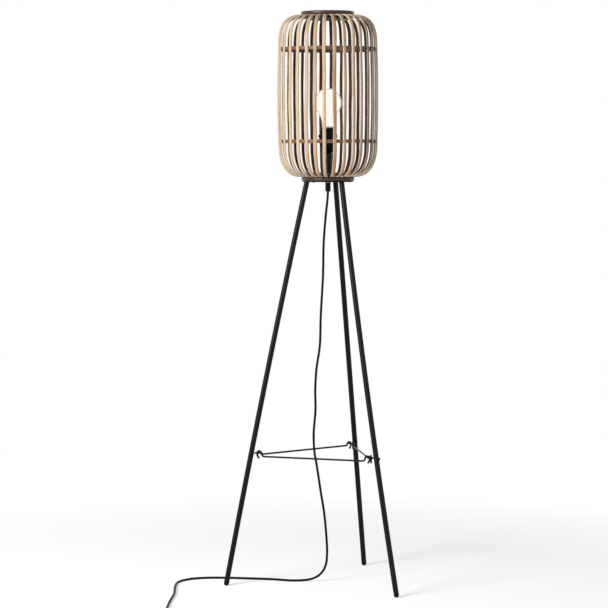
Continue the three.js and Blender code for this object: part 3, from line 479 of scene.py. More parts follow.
class Form:
    """Corners and faces of one piece, gathered from loops of corners."""

    def __init__(self):
        self.corners = []
        self.faces = []

    def loops(self, loops, closed=False):
        """Joins equal loops with four-sided faces, and closes the ends unless the loops meet."""
        first = len(self.corners)
        sides = len(loops[0])
        for loop in loops:
            self.corners.extend(loop)
        steps = len(loops) if closed else len(loops) - 1
        for i in range(steps):
            here, there = first + i * sides, first + (i + 1) % len(loops) * sides
            for k in range(sides):
                after = (k + 1) % sides
                self.faces.append((here + k, here + after, there + after, there + k))
        if not closed:
            last = first + (len(loops) - 1) * sides
            self.faces.append(tuple(range(first + sides - 1, first - 1, -1)))
            self.faces.append(tuple(range(last, last + sides)))
        return self

    def turned(self, profile, steps, place=Matrix(), closed=False):
        """Turns a profile of radius and height about the Z axis of its place."""
        self.loops([
            [place @ Vector((radius * math.cos(a), radius * math.sin(a), height))
             for a in (TURN * k / steps for k in range(steps))]
            for radius, height in profile if closed or radius > 0], closed)
        return self

    def tube(self, line, radii, sides):
        """A round tube along a line, its radius one number or one for each point."""
        radii = radii if isinstance(radii, list) else [radii] * len(line)
        tangents = [(line[min(i + 1, len(line) - 1)] - line[max(i - 1, 0)]).normalized()
                    for i in range(len(line))]
        normal = tangents[0].orthogonal().normalized()
        loops = []
        for here, tangent, radius in zip(line, tangents, radii):
            normal = (normal - tangent * normal.dot(tangent)).normalized()
            across = tangent.cross(normal)
            turns = [TURN * k / sides for k in range(sides)]
            loops.append([here + radius * (normal * math.cos(a) + across * math.sin(a)) for a in turns])
        return self.loops(loops)

    def thread(self, low, high, radius, depth, pitch, steps, place=Matrix()):
        """A screw thread as one wavy sleeve, flat at both ends."""
        rings = math.ceil((high - low) / pitch * 12)
        loops = []
        for i in range(rings + 1):
            height = low + (high - low) * i / rings
            fade = min(1, (height - low) / pitch * 2, (high - height) / pitch * 2)
            loops.append([
                place @ Vector((r * math.cos(a), r * math.sin(a), height))
                for a, r in ((TURN * k / steps, radius - depth * (1 - fade * math.cos(
                    TURN * height / pitch - TURN * k / steps)) / 2) for k in range(steps))])
        return self.loops(loops)

    def object(self, name, material, crease=CREASE):
        """A smooth-shaded object at the origin, its faces pointing out."""
        shell = bmesh.new()
        corners = [shell.verts.new(corner) for corner in self.corners]
        for face in self.faces:
            shell.faces.new([corners[i] for i in face])
        bmesh.ops.remove_doubles(shell, verts=shell.verts, dist=MERGE)
        bmesh.ops.recalc_face_normals(shell, faces=shell.faces)
        mesh = bpy.data.meshes.new(name)
        shell.to_mesh(mesh)
        shell.free()
        mesh.shade_smooth()
        mesh.set_sharp_from_angle(angle=crease)
        mesh.materials.append(material)
        return in_scene(name, mesh)


def settled(made, body, slot, *nodes):
    """A finished piece on its body, with the nodes it stands for hidden; its finish slot is not used."""
    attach(made, body)
    if nodes:
        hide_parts(*nodes)
    return made


def rounded(profile, radius, steps=4, closed=True):
    """The same outline with its corners rounded, a corner given as its radius and height."""
    points = [Vector(corner) for corner in profile]
    result = []
    for i, here in enumerate(points):
        if not closed and i in (0, len(points) - 1):
            result.append(here)
            continue
        before, after = points[i - 1], points[(i + 1) % len(points)]
        to_before, to_after = before - here, after - here
        reach = min(radius, to_before.length * 0.49, to_after.length * 0.49)
        start = here + to_before.normalized() * reach
        end = here + to_after.normalized() * reach
        for k in range(steps + 1):
            share = k / steps
            result.append(start * (1 - share) ** 2 + here * 2 * share * (1 - share) + end * share ** 2)
    return result


def at(offset):
    """The place of a point given from the lamp's axis."""
    return AXIS + Vector(offset)


def about_axis(turn_by=0.0):
    return Matrix.Translation(AXIS) @ Matrix.Rotation(turn_by, 4, "Z")


def inset(loop, distance):
    """A loop of corners, drawn in by a distance along its own plane."""
    drawn = []
    for i, here in enumerate(loop):
        along = (loop[(i + 1) % len(loop)] - loop[i - 1]).normalized()
        drawn.append(here + Vector((-along.y, along.x, 0)) * distance)
    return drawn


def raised(loop, height):
    return [Vector((corner.x, corner.y, height)) for corner in loop]


# Stage

def make_camera(stage):
    data = bpy.data.cameras.new("camera")
    data.lens = stage.camera_lens
    data.clip_end = 100
    camera = in_scene("camera", data)
    camera.matrix_world = (
        Matrix.Translation(at((0, -stage.camera_distance, stage.camera_height)))
        @ Matrix.Rotation(stage.camera_yaw, 4, "Z")
        @ Matrix.Rotation(math.pi / 2 - stage.camera_pitch, 4, "X")
        @ Matrix.Rotation(-stage.camera_roll, 4, "Z"))
    bpy.context.scene.camera = camera


def make_lamp(name, place, size, power):
    """A large soft lamp that looks at the upper half of the floor lamp."""
    aimed_height = 0.8
    data = bpy.data.lights.new(name, "AREA")
    data.shape = "DISK"
    data.size = size
    data.energy = power
    lamp = in_scene(name, data)
    lamp.location = at(place)
    aim = at((0, 0, aimed_height)) - lamp.location
    lamp.rotation_euler = aim.to_track_quat("-Z", "Y").to_euler()


def plain_rays(tree):
    """One where the camera, a reflection or glass looks, and zero for light that falls on the lamp."""
    path = add(tree, "ShaderNodeLightPath")
    seen = add(tree, "ShaderNodeMath",
               {0: path.outputs["Is Camera Ray"], 1: path.outputs["Is Glossy Ray"]}, operation="ADD")
    return add(tree, "ShaderNodeMath", {0: seen, 1: path.outputs["Is Transmission Ray"]},
               operation="ADD", use_clamp=True)


def make_world(stage):
    """White where the camera, reflections and glass look, and a weaker light on the lamp."""
    world = bpy.data.worlds.new("studio")
    world.use_nodes = True
    tree = world.node_tree
    tree.nodes.clear()
    level = add(tree, "ShaderNodeMapRange", {"Value": plain_rays(tree), "To Min": stage.sky, "To Max": 1.0})
    sky = add(tree, "ShaderNodeBackground", {"Color": (1, 1, 1, 1), "Strength": level})
    add(tree, "ShaderNodeOutputWorld", {"Surface": sky})
    bpy.context.scene.world = world


def floor_material(stage):
    """White sweep: its own plain light fills it up to white, less the lamp's soft shadow near the feet."""
    shadow_ends, white_starts = 0.6, 1.3  # metres from the lamp's axis
    material, tree = new_material("white sweep")
    place = add(tree, "ShaderNodeTexCoord").outputs["Object"]
    away = add(tree, "ShaderNodeVectorMath", {0: place, 1: AXIS}, operation="DISTANCE").outputs["Value"]
    further = add(tree, "ShaderNodeMapRange", {
        "Value": away, "From Min": shadow_ends, "From Max": white_starts})
    seen = plain_rays(tree)
    blank = add(tree, "ShaderNodeMath", {0: seen, 1: further}, operation="MULTIPLY")
    white = opaque(linear("#f2f2f2"))
    tone = add(tree, "ShaderNodeMix", {"Factor": blank, "A": white, "B": (0, 0, 0, 1)}, data_type="RGBA")
    paint = add(tree, "ShaderNodeBsdfDiffuse", {"Color": tone})
    own = add(tree, "ShaderNodeMapRange", {"Value": further, "To Min": stage.floor_light, "To Max": 1.0})
    strength = add(tree, "ShaderNodeMath", {0: own, 1: seen}, operation="MULTIPLY")
    light = add(tree, "ShaderNodeEmission", {"Color": (1, 1, 1, 1), "Strength": strength})
    both = add(tree, "ShaderNodeAddShader", {0: paint, 1: light})
    add(tree, "ShaderNodeOutputMaterial", {"Surface": both})
    return material


def make_floor(stage):
    """One wide square, just under the feet."""
    reach, under = 30, 0.2 * MM
    mesh = bpy.data.meshes.new("floor")
    mesh.from_pydata([(-reach, -reach, -under), (reach, -reach, -under), (reach, reach, -under),
                      (-reach, reach, -under)], [], [(0, 1, 2, 3)])
    mesh.materials.append(floor_material(stage))
    in_scene("floor", mesh)


def build_stage(lamp):
    stage = lamp.stage
    key_place, key_size = (-2.4, -2.5, 1.9), 1.8
    fill_place, fill_size = (2.4, -2.2, 1.0), 1.6
    make_camera(stage)
    make_world(stage)
    make_lamp("key", key_place, key_size, stage.key_power)
    make_lamp("fill", fill_place, fill_size, stage.fill_power)
    make_floor(stage)
    bpy.context.scene.view_settings.view_transform = "Standard"


# Shade

def slat_line(shade):
    """Outside line of a slat from its upper end to its lower end, as radius and height."""
    low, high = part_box("slat_01")
    flat_end = RING_RADIUS + shade.slat_flat
    reach = shade.radius - flat_end
    upper = high.z - shade.top_shoulder
    lower = low.z + shade.bottom_shoulder
    end = RING_RADIUS - shade.slat_grip
    line = [Vector((end, 0, high.z)), Vector(((end + flat_end) / 2, 0, high.z))]
    shoulder_steps, side_steps = 16, 12
    for i in range(shoulder_steps + 1):
        turn_by = math.pi / 2 * (1 - i / shoulder_steps)
        power = 2 / shade.top_squareness
        line.append(Vector((flat_end + reach * math.cos(turn_by) ** power, 0,
                            upper + shade.top_shoulder * math.sin(turn_by) ** power)))
    for i in range(1, side_steps):
        share = 2 * i / side_steps - 1
        line.append(Vector((shade.radius + shade.belly * (1 - share * share), 0,
                            upper + (lower - upper) * i / side_steps)))
    for i in range(shoulder_steps + 1):
        turn_by = math.pi / 2 * i / shoulder_steps
        power = 2 / shade.bottom_squareness
        line.append(Vector((flat_end + reach * math.cos(turn_by) ** power, 0,
                            lower - shade.bottom_shoulder * math.sin(turn_by) ** power)))
    line += [Vector(((end + flat_end) / 2, 0, low.z)), Vector((end, 0, low.z))]
    return line


def geometry_tree(name, inputs):
    """A geometry tree with named inputs, and the node that hands them on."""
    tree = bpy.data.node_groups.new(name, "GeometryNodeTree")
    for label, kind in [("Geometry", "NodeSocketGeometry"), *inputs]:
        tree.interface.new_socket(name=label, in_out="INPUT", socket_type=kind)
    tree.interface.new_socket(name="Geometry", in_out="OUTPUT", socket_type="NodeSocketGeometry")
    return tree, tree.nodes.new("NodeGroupInput").outputs


def slat_tree():
    """Sweeps a rounded strip along the given line, and sets one at each loose corner's own turn."""
    wander_rate, swell_rate = 9.0, 14.0  # changes of direction and of width, a metre of slat
    slat_step, swell_start = 3.7, 91.0  # keep the slats, and the two noises, apart
    held, free = 0.02, 0.09  # metres from a slat's end: where the rings hold it, and where nothing does
    tree, given = geometry_tree("split slats", [
        ("Width", "NodeSocketFloat"), ("Thickness", "NodeSocketFloat"), ("Crown", "NodeSocketFloat"),
        ("Corner", "NodeSocketFloat"), ("Length", "NodeSocketFloat"), ("Sway", "NodeSocketFloat"),
        ("Spread", "NodeSocketFloat"), ("Swell", "NodeSocketFloat"), ("Seed", "NodeSocketInt"),
        ("Axis", "NodeSocketVector"), ("Material", "NodeSocketMaterial")])
    is_place = add(tree, "GeometryNodeInputNamedAttribute", {"Name": "place"}, data_type="BOOLEAN")
    sorted_out = add(tree, "GeometryNodeSeparateGeometry",
                     {"Geometry": given["Geometry"], "Selection": is_place.outputs["Attribute"]})
    path = add(tree, "GeometryNodeMeshToCurve", {"Mesh": sorted_out.outputs["Inverted"]})
    facing = add(tree, "GeometryNodeSetCurveNormal", {"Curve": path, "Normal": (0, 1, 0)}, mode="FREE")
    parameter = add(tree, "GeometryNodeSplineParameter")
    measured = add(tree, "GeometryNodeStoreNamedAttribute",
                   {"Geometry": facing, "Name": "along", "Value": parameter.outputs["Length"]})
    # The strip's section: rounded corners, and an outer face that falls away a little to both sides.
    flat = add(tree, "GeometryNodeCurvePrimitiveQuadrilateral", {
        "Width": given["Width"], "Height": given["Thickness"]})
    halved = add(tree, "GeometryNodeSubdivideCurve", {"Curve": flat, "Cuts": 3})
    round_edges = add(tree, "GeometryNodeFilletCurve", {
        "Curve": halved, "Count": 3, "Radius": given["Corner"], "Limit Radius": True}, mode="POLY")
    corner = add(tree, "ShaderNodeSeparateXYZ", {"Vector": add(tree, "GeometryNodeInputPosition")})
    doubled = add(tree, "ShaderNodeMath", {0: corner.outputs["X"], 1: 2.0}, operation="MULTIPLY")
    from_middle = add(tree, "ShaderNodeMath", {0: doubled, 1: given["Width"]}, operation="DIVIDE")
    squared = add(tree, "ShaderNodeMath", {0: from_middle, 1: from_middle}, operation="MULTIPLY")
    fall = add(tree, "ShaderNodeMath", {0: squared, 1: given["Crown"]}, operation="MULTIPLY")
    outside = add(tree, "ShaderNodeMath", {0: corner.outputs["Y"], 1: 0.0}, operation="GREATER_THAN")
    sink = add(tree, "ShaderNodeMath", {0: fall, 1: outside}, operation="MULTIPLY")
    half = add(tree, "ShaderNodeMath", {0: given["Thickness"], 1: 0.5}, operation="MULTIPLY")
    lower = add(tree, "ShaderNodeMath", {0: sink, 1: half}, operation="ADD")
    lowered = add(tree, "ShaderNodeMath", {0: 0.0, 1: lower}, operation="SUBTRACT")
    section = add(tree, "GeometryNodeSetPosition",
                  {"Geometry": round_edges, "Offset": add(tree, "ShaderNodeCombineXYZ", {"Y": lowered})})
    kept = add(tree, "GeometryNodeStoreNamedAttribute",
               {"Geometry": section, "Name": "section", "Value": add(tree, "GeometryNodeInputPosition")},
               data_type="FLOAT_VECTOR")
    strip = add(tree, "GeometryNodeCurveToMesh", {
        "Curve": measured, "Profile Curve": kept, "Fill Caps": True})
    # One copy at each place, with its own turn and number.
    spots = add(tree, "GeometryNodeMeshToPoints", {"Mesh": sorted_out.outputs["Selection"]})
    own_turn = add(tree, "GeometryNodeInputNamedAttribute", {"Name": "place_turn"}, data_type="FLOAT")
    own_number = add(tree, "GeometryNodeInputNamedAttribute", {"Name": "place_number"}, data_type="FLOAT")
    turned = add(tree, "ShaderNodeCombineXYZ", {"Z": own_turn.outputs["Attribute"]})
    rotation = add(tree, "FunctionNodeEulerToRotation", {0: turned})
    copies = add(tree, "GeometryNodeInstanceOnPoints", {
        "Points": spots, "Instance": strip, "Rotation": rotation})
    with_turn = add(tree, "GeometryNodeStoreNamedAttribute", {
        "Geometry": copies, "Name": "turn", "Value": own_turn.outputs["Attribute"]}, domain="INSTANCE")
    with_number = add(tree, "GeometryNodeStoreNamedAttribute", {
        "Geometry": with_turn, "Name": "slat", "Value": own_number.outputs["Attribute"]}, domain="INSTANCE")
    real = add(tree, "GeometryNodeRealizeInstances", {"Geometry": with_number})
    # Each strip has its own width, which swells along it, and wanders sideways where no ring holds it.
    slat, along, turn_by = (
        add(tree, "GeometryNodeInputNamedAttribute", {"Name": name}, data_type="FLOAT").outputs["Attribute"]
        for name in ("slat", "along", "turn"))
    cut = add(tree, "GeometryNodeInputNamedAttribute", {"Name": "section"}, data_type="FLOAT_VECTOR")
    across = add(tree, "ShaderNodeSeparateXYZ", {"Vector": cut.outputs["Attribute"]}).outputs["X"]
    spaced = add(tree, "ShaderNodeMath", {0: slat, 1: slat_step}, operation="MULTIPLY")
    own = add(tree, "ShaderNodeMath", {0: spaced, 1: given["Seed"]}, operation="ADD")
    slow = add(tree, "ShaderNodeMath", {0: along, 1: wander_rate}, operation="MULTIPLY")
    wander_spot = add(tree, "ShaderNodeCombineXYZ", {"X": slow, "Y": own})
    wander = add(tree, "ShaderNodeTexNoise", {"Vector": wander_spot, "Scale": 1.0, "Detail": 1.0},
                 noise_dimensions="2D").outputs["Fac"]
    quick = add(tree, "ShaderNodeMath", {0: along, 1: swell_rate}, operation="MULTIPLY")
    other = add(tree, "ShaderNodeMath", {0: own, 1: swell_start}, operation="ADD")
    swell_spot = add(tree, "ShaderNodeCombineXYZ", {"X": quick, "Y": other})
    swell = add(tree, "ShaderNodeTexNoise", {"Vector": swell_spot, "Scale": 1.0, "Detail": 1.0},
                noise_dimensions="2D").outputs["Fac"]
    chance = add(tree, "ShaderNodeTexWhiteNoise", {"W": own}, noise_dimensions="1D").outputs["Value"]
    wide = add(tree, "ShaderNodeMath", {0: chance, 1: 0.5}, operation="SUBTRACT")
    wider = add(tree, "ShaderNodeMath", {0: wide, 1: given["Spread"]}, operation="MULTIPLY")
    swollen = add(tree, "ShaderNodeMath", {0: swell, 1: 0.5}, operation="SUBTRACT")
    swelled = add(tree, "ShaderNodeMath", {0: swollen, 1: given["Swell"]}, operation="MULTIPLY")
    widened = add(tree, "ShaderNodeMath", {0: wider, 1: swelled}, operation="ADD")
    side_width = add(tree, "ShaderNodeMath", {0: across, 1: widened}, operation="MULTIPLY")
    aside = add(tree, "ShaderNodeMath", {0: wander, 1: 0.5}, operation="SUBTRACT")
    swayed = add(tree, "ShaderNodeMath", {0: aside, 1: given["Sway"]}, operation="MULTIPLY")
    from_end = add(tree, "ShaderNodeMath", {0: given["Length"], 1: along}, operation="SUBTRACT")
    to_end = add(tree, "ShaderNodeMath", {0: along, 1: from_end}, operation="MINIMUM")
    fade = add(tree, "ShaderNodeMapRange", {"Value": to_end, "From Min": held, "From Max": free},
               interpolation_type="SMOOTHSTEP")
    faded = add(tree, "ShaderNodeMath", {0: swayed, 1: fade}, operation="MULTIPLY")
    shift = add(tree, "ShaderNodeMath", {0: faded, 1: side_width}, operation="ADD")
    sine = add(tree, "ShaderNodeMath", {0: turn_by}, operation="SINE")
    back = add(tree, "ShaderNodeMath", {0: sine, 1: -1.0}, operation="MULTIPLY")
    cosine = add(tree, "ShaderNodeMath", {0: turn_by}, operation="COSINE")
    sideways = add(tree, "ShaderNodeCombineXYZ", {"X": back, "Y": cosine})
    offset = add(tree, "ShaderNodeVectorMath", {0: sideways, "Scale": shift}, operation="SCALE")
    grown = add(tree, "GeometryNodeSetPosition", {"Geometry": real, "Offset": offset})
    placed = add(tree, "GeometryNodeTransform", {"Geometry": grown, "Translation": given["Axis"]})
    painted = add(tree, "GeometryNodeSetMaterial", {"Geometry": placed, "Material": given["Material"]})
    add(tree, "NodeGroupOutput", {0: painted})
    return tree


def plain_mesh(made, tree, values, crease=CREASE):
    """Runs a geometry tree on an object, and leaves its result as a plain mesh."""
    modifier = made.modifiers.new(tree.name, "NODES")
    modifier.node_group = tree
    for item in tree.interface.items_tree:
        if item.in_out == "INPUT" and item.name in values:
            modifier[item.identifier] = values[item.name]
    graph = bpy.context.evaluated_depsgraph_get()
    mesh = bpy.data.meshes.new_from_object(made.evaluated_get(graph))
    made.modifiers.remove(modifier)
    made.data = mesh
    mesh.shade_smooth()
    mesh.set_sharp_from_angle(angle=crease)
    return made


def pattern_object(name, line, turns):
    """A line, and one loose corner for each place, which holds the place's turn and number."""
    mesh = bpy.data.meshes.new(name)
    joined = [(i, i + 1) for i in range(len(line) - 1)]
    mesh.from_pydata([*line, *[Vector((0, 0, 0)) for _ in turns]], joined, [])
    mesh.attributes.new("place", "BOOLEAN", "POINT")
    mesh.attributes.new("place_turn", "FLOAT", "POINT")
    mesh.attributes.new("place_number", "FLOAT", "POINT")
    for i, turn_by in enumerate(turns):
        mesh.attributes["place"].data[len(line) + i].value = True
        mesh.attributes["place_turn"].data[len(line) + i].value = turn_by
        mesh.attributes["place_number"].data[len(line) + i].value = i + 1
    return in_scene(name, mesh)


def line_length(line):
    return sum((b - a).length for a, b in zip(line, line[1:]))


def build_slats(lamp):
    shade = lamp.shade
    line = slat_line(shade)
    nodes = [f"slat_{i + 1:02d}" for i in range(shade.slat_count)]
    ways = [middle(node) - AXIS for node in nodes]
    turns = [math.atan2(way.y, way.x) for way in ways]
    slats = plain_mesh(pattern_object("slats", line, turns), slat_tree(), {
        "Width": shade.slat_width, "Thickness": shade.slat_thickness, "Crown": shade.slat_crown,
        "Corner": shade.slat_corner, "Length": line_length(line), "Sway": 4 * shade.slat_sway,
        "Spread": 2 * shade.slat_spread, "Swell": shade.slat_swell, "Seed": shade.seed, "Axis": AXIS,
        "Material": rattan_material(shade)})
    settled(slats, ROOT, "rattan", *nodes)


def ring_section(node, inner, edge, steps):
    """The section of a flat ring with rounded edges, as wide and high as its CAD node."""
    low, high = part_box(node)
    outer = box_radius(node)
    return rounded([(inner, low.z), (outer, low.z), (outer, high.z), (inner, high.z)], edge, steps)


def build_rings(lamp):
    shade = lamp.shade
    wood = stained_material(shade)
    bore = RING_RADIUS - shade.ring_width
    outer_edge, inner_edge = 3.2 * MM, 2 * MM
    for node, edge in (("top_ring", outer_edge), ("bottom_ring", outer_edge),
                       ("top_inner_ring", inner_edge), ("bottom_inner_ring", inner_edge)):
        ring = Form().turned(ring_section(node, bore, edge, 6), 160, about_axis(), closed=True)
        settled(ring.object(node + "_turned", wood), ROOT, "stained_wood", node)


def build_hoops(lamp):
    shade = lamp.shade
    edge = 0.7 * MM
    outer = max(map(box_radius, HOOPS))
    strip = hoop_material(shade, outer - shade.hoop_thickness, outer)
    for node in HOOPS:
        section = ring_section(node, box_radius(node) - shade.hoop_thickness, edge, 3)
        hoop = Form().turned(section, 160, about_axis(), closed=True)
        settled(hoop.object(node + "_strip", strip), ROOT, "hoop_wood", node)


# Tripod

LEG_NAMES = ("left", "front", "rear")
HUB_PLATE = 2.5 * MM


def leg_turn(tripod, i):
    return tripod.first_angle + TURN * i / len(LEG_NAMES)


def leg_span(tripod):
    """Radius and height of a leg's line at the foot and at the top."""
    top_radius = box_radius("hub") - tripod.top_inset
    top_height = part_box("leg_left")[1].z
    return tripod.foot_spread, tripod.leg_radius - tripod.foot_cut, top_radius, top_height


def leg_point(tripod, i, height):
    """The leg's middle line at a height, in the leg's own upright plane."""
    foot_radius, foot_height, top_radius, top_height = leg_span(tripod)
    share = (height - foot_height) / (top_height - foot_height)
    radius = foot_radius + (top_radius - foot_radius) * share + 4 * tripod.bows[i] * share * (1 - share)
    return Vector((radius, 0, height))


def leg_direction(tripod, i, height):
    """The way a leg's middle line runs at a height, in its upright plane."""
    step = 1 * MM
    return (leg_point(tripod, i, height + step) - leg_point(tripod, i, height - step)).normalized()


def build_tripod(lamp):
    tripod = lamp.tripod
    coat = grained_material("powder coated steel", tripod.steel, roughness=0.38, grit=0.35 * MM,
                            depth=0.03 * MM, gloss=0.15)
    nylon = grained_material("black nylon", tripod.glide, roughness=0.5, grit=0.5 * MM,
                             depth=0.03 * MM, gloss=0.1)
    build_hub(tripod, coat)
    for i, name in enumerate(LEG_NAMES):
        build_leg(tripod, i, name, coat, nylon)


def build_leg(tripod, i, name, coat, nylon):
    """A slightly bowed tube, and the glide that is pushed into its lower end."""
    place = about_axis(leg_turn(tripod, i))
    _, foot_height, _, top_height = leg_span(tripod)
    start = foot_height + tripod.foot_collar + SEAT_GAP
    steps = 28
    line = [place @ leg_point(tripod, i, start + (top_height - start) * k / steps) for k in range(steps + 1)]
    leg = Form().tube(line, tripod.leg_radius, 40).object(f"leg_{name}_tube", coat)
    cut_level(leg, top_height)
    settled(leg, ROOT, "black_steel", f"leg_{name}")
    # The glide's round end is cut flat where it stands, and its shank stands up in the tube.
    axis = leg_direction(tripod, i, foot_height)
    lean = Vector((0, 0, 1)).rotation_difference(axis).to_matrix().to_4x4()
    foot_place = place @ Matrix.Translation(leg_point(tripod, i, foot_height)) @ lean
    radius, collar = tripod.leg_radius, tripod.foot_collar
    edge, tube_wall, shank_length = 0.3 * MM, 1.5 * MM, 14 * MM
    round_steps = 12
    turns = [math.pi / 2 * k / round_steps for k in range(1, round_steps + 1)]
    profile = [(radius * math.sin(turn_by), -radius * math.cos(turn_by)) for turn_by in turns]
    profile += [(radius, collar - edge), (radius - edge, collar), (radius - tube_wall, collar),
                (radius - tube_wall, collar + shank_length)]
    glide = Form().turned(profile, 40, foot_place).object(f"foot_{name}_glide", nylon)
    cut_level(glide, 0, above=True)
    settled(glide, ROOT, "black_nylon", f"foot_{name}")


def cut_level(made, height, above=False):
    """Cuts a piece at a height, keeps what lies under or above it, and closes the cut."""
    shell = bmesh.new()
    shell.from_mesh(made.data)
    geometry = shell.verts[:] + shell.edges[:] + shell.faces[:]
    cut = bmesh.ops.bisect_plane(shell, geom=geometry, plane_co=(0, 0, height), plane_no=(0, 0, 1),
                                 clear_outer=not above, clear_inner=above, dist=MERGE)
    rim = [e for e in cut["geom_cut"] if isinstance(e, bmesh.types.BMEdge)]
    if rim:
        bmesh.ops.contextual_create(shell, geom=rim)
    bmesh.ops.recalc_face_normals(shell, faces=shell.faces)
    shell.to_mesh(made.data)
    shell.free()
    made.data.shade_smooth()
    made.data.set_sharp_from_angle(angle=CREASE)


def build_hub(tripod, coat):
    """Plate, stem and threaded nipple, with the three spigots that the legs slip onto."""
    radius, top = box_radius("hub"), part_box("hub")[1].z
    plate_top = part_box("bottom_ring")[0].z - SEAT_GAP
    plate_bottom = plate_top - HUB_PLATE
    stem_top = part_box("lampholder_cap")[0].z - SEAT_GAP
    stem, nipple, bore, wire_bore = 8 * MM, 4.8 * MM, 5 * MM, 3.2 * MM
    bore_top = plate_bottom + 12 * MM
    edge, tube_wall, spigot_up, spigot_down = 0.5 * MM, 1.5 * MM, 1.2 * MM, 2 * MM
    form = Form().turned(
        rounded([(bore, plate_bottom), (radius, plate_bottom), (radius, plate_top), (stem, plate_top),
                 (stem, stem_top), (nipple, stem_top), (nipple, top), (wire_bore, top),
                 (wire_bore, bore_top), (bore, bore_top)], edge, 2), 96, about_axis(), closed=True)
    for i in range(len(LEG_NAMES)):
        place = about_axis(leg_turn(tripod, i))
        leg_top = leg_point(tripod, i, leg_span(tripod)[3])
        direction = leg_direction(tripod, i, leg_top.z)
        line = [place @ (leg_top + direction * reach) for reach in (spigot_up, -spigot_down)]
        form.tube(line, tripod.leg_radius - tube_wall, 24)
    settled(form.object("hub_turned", coat), ROOT, "black_steel", "hub")


def screw_tree():
    """A domed screw head with a slot, set head down at each loose corner's own turn."""
    tree, given = geometry_tree("hub screws", [
        ("Head Radius", "NodeSocketFloat"), ("Flatness", "NodeSocketVector"), ("Slot", "NodeSocketVector"),
        ("Slot Place", "NodeSocketVector"), ("Circle", "NodeSocketVector"), ("Place", "NodeSocketVector"),
        ("Material", "NodeSocketMaterial")])
    ball = add(tree, "GeometryNodeMeshUVSphere", {
        "Segments": 24, "Rings": 12, "Radius": given["Head Radius"]})
    dome = add(tree, "GeometryNodeTransform", {"Geometry": ball, "Scale": given["Flatness"]})
    block = add(tree, "GeometryNodeMeshCube", {"Size": given["Slot"]})
    slot = add(tree, "GeometryNodeTransform", {"Geometry": block, "Translation": given["Slot Place"]})
    head = add(tree, "GeometryNodeMeshBoolean", {0: dome, 1: slot}, operation="DIFFERENCE")
    aside = add(tree, "GeometryNodeTransform", {"Geometry": head, "Translation": given["Circle"]})
    own_turn = add(tree, "GeometryNodeInputNamedAttribute", {"Name": "place_turn"}, data_type="FLOAT")
    turned = add(tree, "ShaderNodeCombineXYZ", {"Z": own_turn.outputs["Attribute"]})
    spots = add(tree, "GeometryNodeMeshToPoints", {"Mesh": given["Geometry"]})
    rotation = add(tree, "FunctionNodeEulerToRotation", {0: turned})
    copies = add(tree, "GeometryNodeInstanceOnPoints", {
        "Points": spots, "Instance": aside, "Rotation": rotation})
    real = add(tree, "GeometryNodeRealizeInstances", {"Geometry": copies})
    placed = add(tree, "GeometryNodeTransform", {"Geometry": real, "Translation": given["Place"]})
    painted = add(tree, "GeometryNodeSetMaterial", {"Geometry": placed, "Material": given["Material"]})
    add(tree, "NodeGroupOutput", {0: painted})
    return tree


def build_screws(lamp):
    """Two screws between each pair of legs, under the middle of the bottom ring's width."""
    tripod = lamp.tripod
    radius, height = tripod.screw_radius, tripod.screw_height
    slot_width = 0.8 * MM
    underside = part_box("bottom_ring")[0].z - SEAT_GAP - HUB_PLATE
    circle = RING_RADIUS - lamp.shade.ring_width / 2
    turns = [leg_turn(tripod, i) + TURN * share for i in range(len(LEG_NAMES)) for share in (1 / 9, 2 / 9)]
    steel = metal_material("zinc plated screws", "#8f8f8c", roughness=0.35)
    screws = plain_mesh(pattern_object("hub_screws", [], turns), screw_tree(), {
        "Head Radius": radius, "Flatness": (1, 1, height / radius), "Slot": (3 * radius, slot_width, height),
        "Slot Place": (0, 0, -height), "Circle": (circle, 0, 0), "Place": at((0, 0, underside)),
        "Material": steel})
    settled(screws, ROOT, "nickel")


# Spreader

def leg_reach(tripod, i, height):
    """How far a leaning leg reaches to one side, within a height over and under the eye."""
    axis = leg_direction(tripod, i, tripod.eye_height)
    return tripod.leg_radius / axis.z + height * abs(axis.x) / axis.z


def rod_offset(tripod):
    """How far a rod stands out of the line between two eyes, so two hooks fit in one."""
    return (2 * tripod.rod_radius + tripod.rods_apart) / math.sqrt(3)


def eye_radius(tripod):
    """Radius at the middle of an eye's wire, with room for both hooks."""
    return rod_offset(tripod) + tripod.rod_radius + tripod.eye_room + tripod.eye_wire


def eye_middle(tripod, i):
    """The middle of an eye, in its leg's own upright plane."""
    leg = leg_point(tripod, i, tripod.eye_height).x
    reach = leg_reach(tripod, i, tripod.eye_wire) + SEAT_GAP + tripod.stand_offs[i]
    return Vector((leg - reach - tripod.eye_wire - eye_radius(tripod), 0, tripod.eye_height))


def hook_line(tripod, bend):
    """One hook as distances along the rod and heights over the eye's middle, from the tail inwards."""
    wire, ring = tripod.rod_radius, eye_radius(tripod)
    arch = (ring + tripod.eye_wire + wire + 2 * SEAT_GAP) / 2
    seat = tripod.eye_wire + wire + SEAT_GAP
    arch_height = seat - math.sqrt(arch ** 2 - (ring - arch) ** 2)
    line = []
    tail_steps, arch_steps, bend_steps = 6, 16, 8
    for k in range(tail_steps):
        share = 1 - k / tail_steps
        line.append((tripod.rod_lean * share ** 2, arch_height - tripod.rod_tail * share))
    for k in range(arch_steps + 1):
        turn_by = math.pi * (1 - k / arch_steps)
        line.append((arch * (1 + math.cos(turn_by)), arch_height + arch * math.sin(turn_by)))
    for k in range(1, bend_steps + 1):
        turn_by = math.pi / 2 * k / bend_steps
        line.append((2 * arch + bend * (1 - math.cos(turn_by)), arch_height - bend * math.sin(turn_by)))
    return line


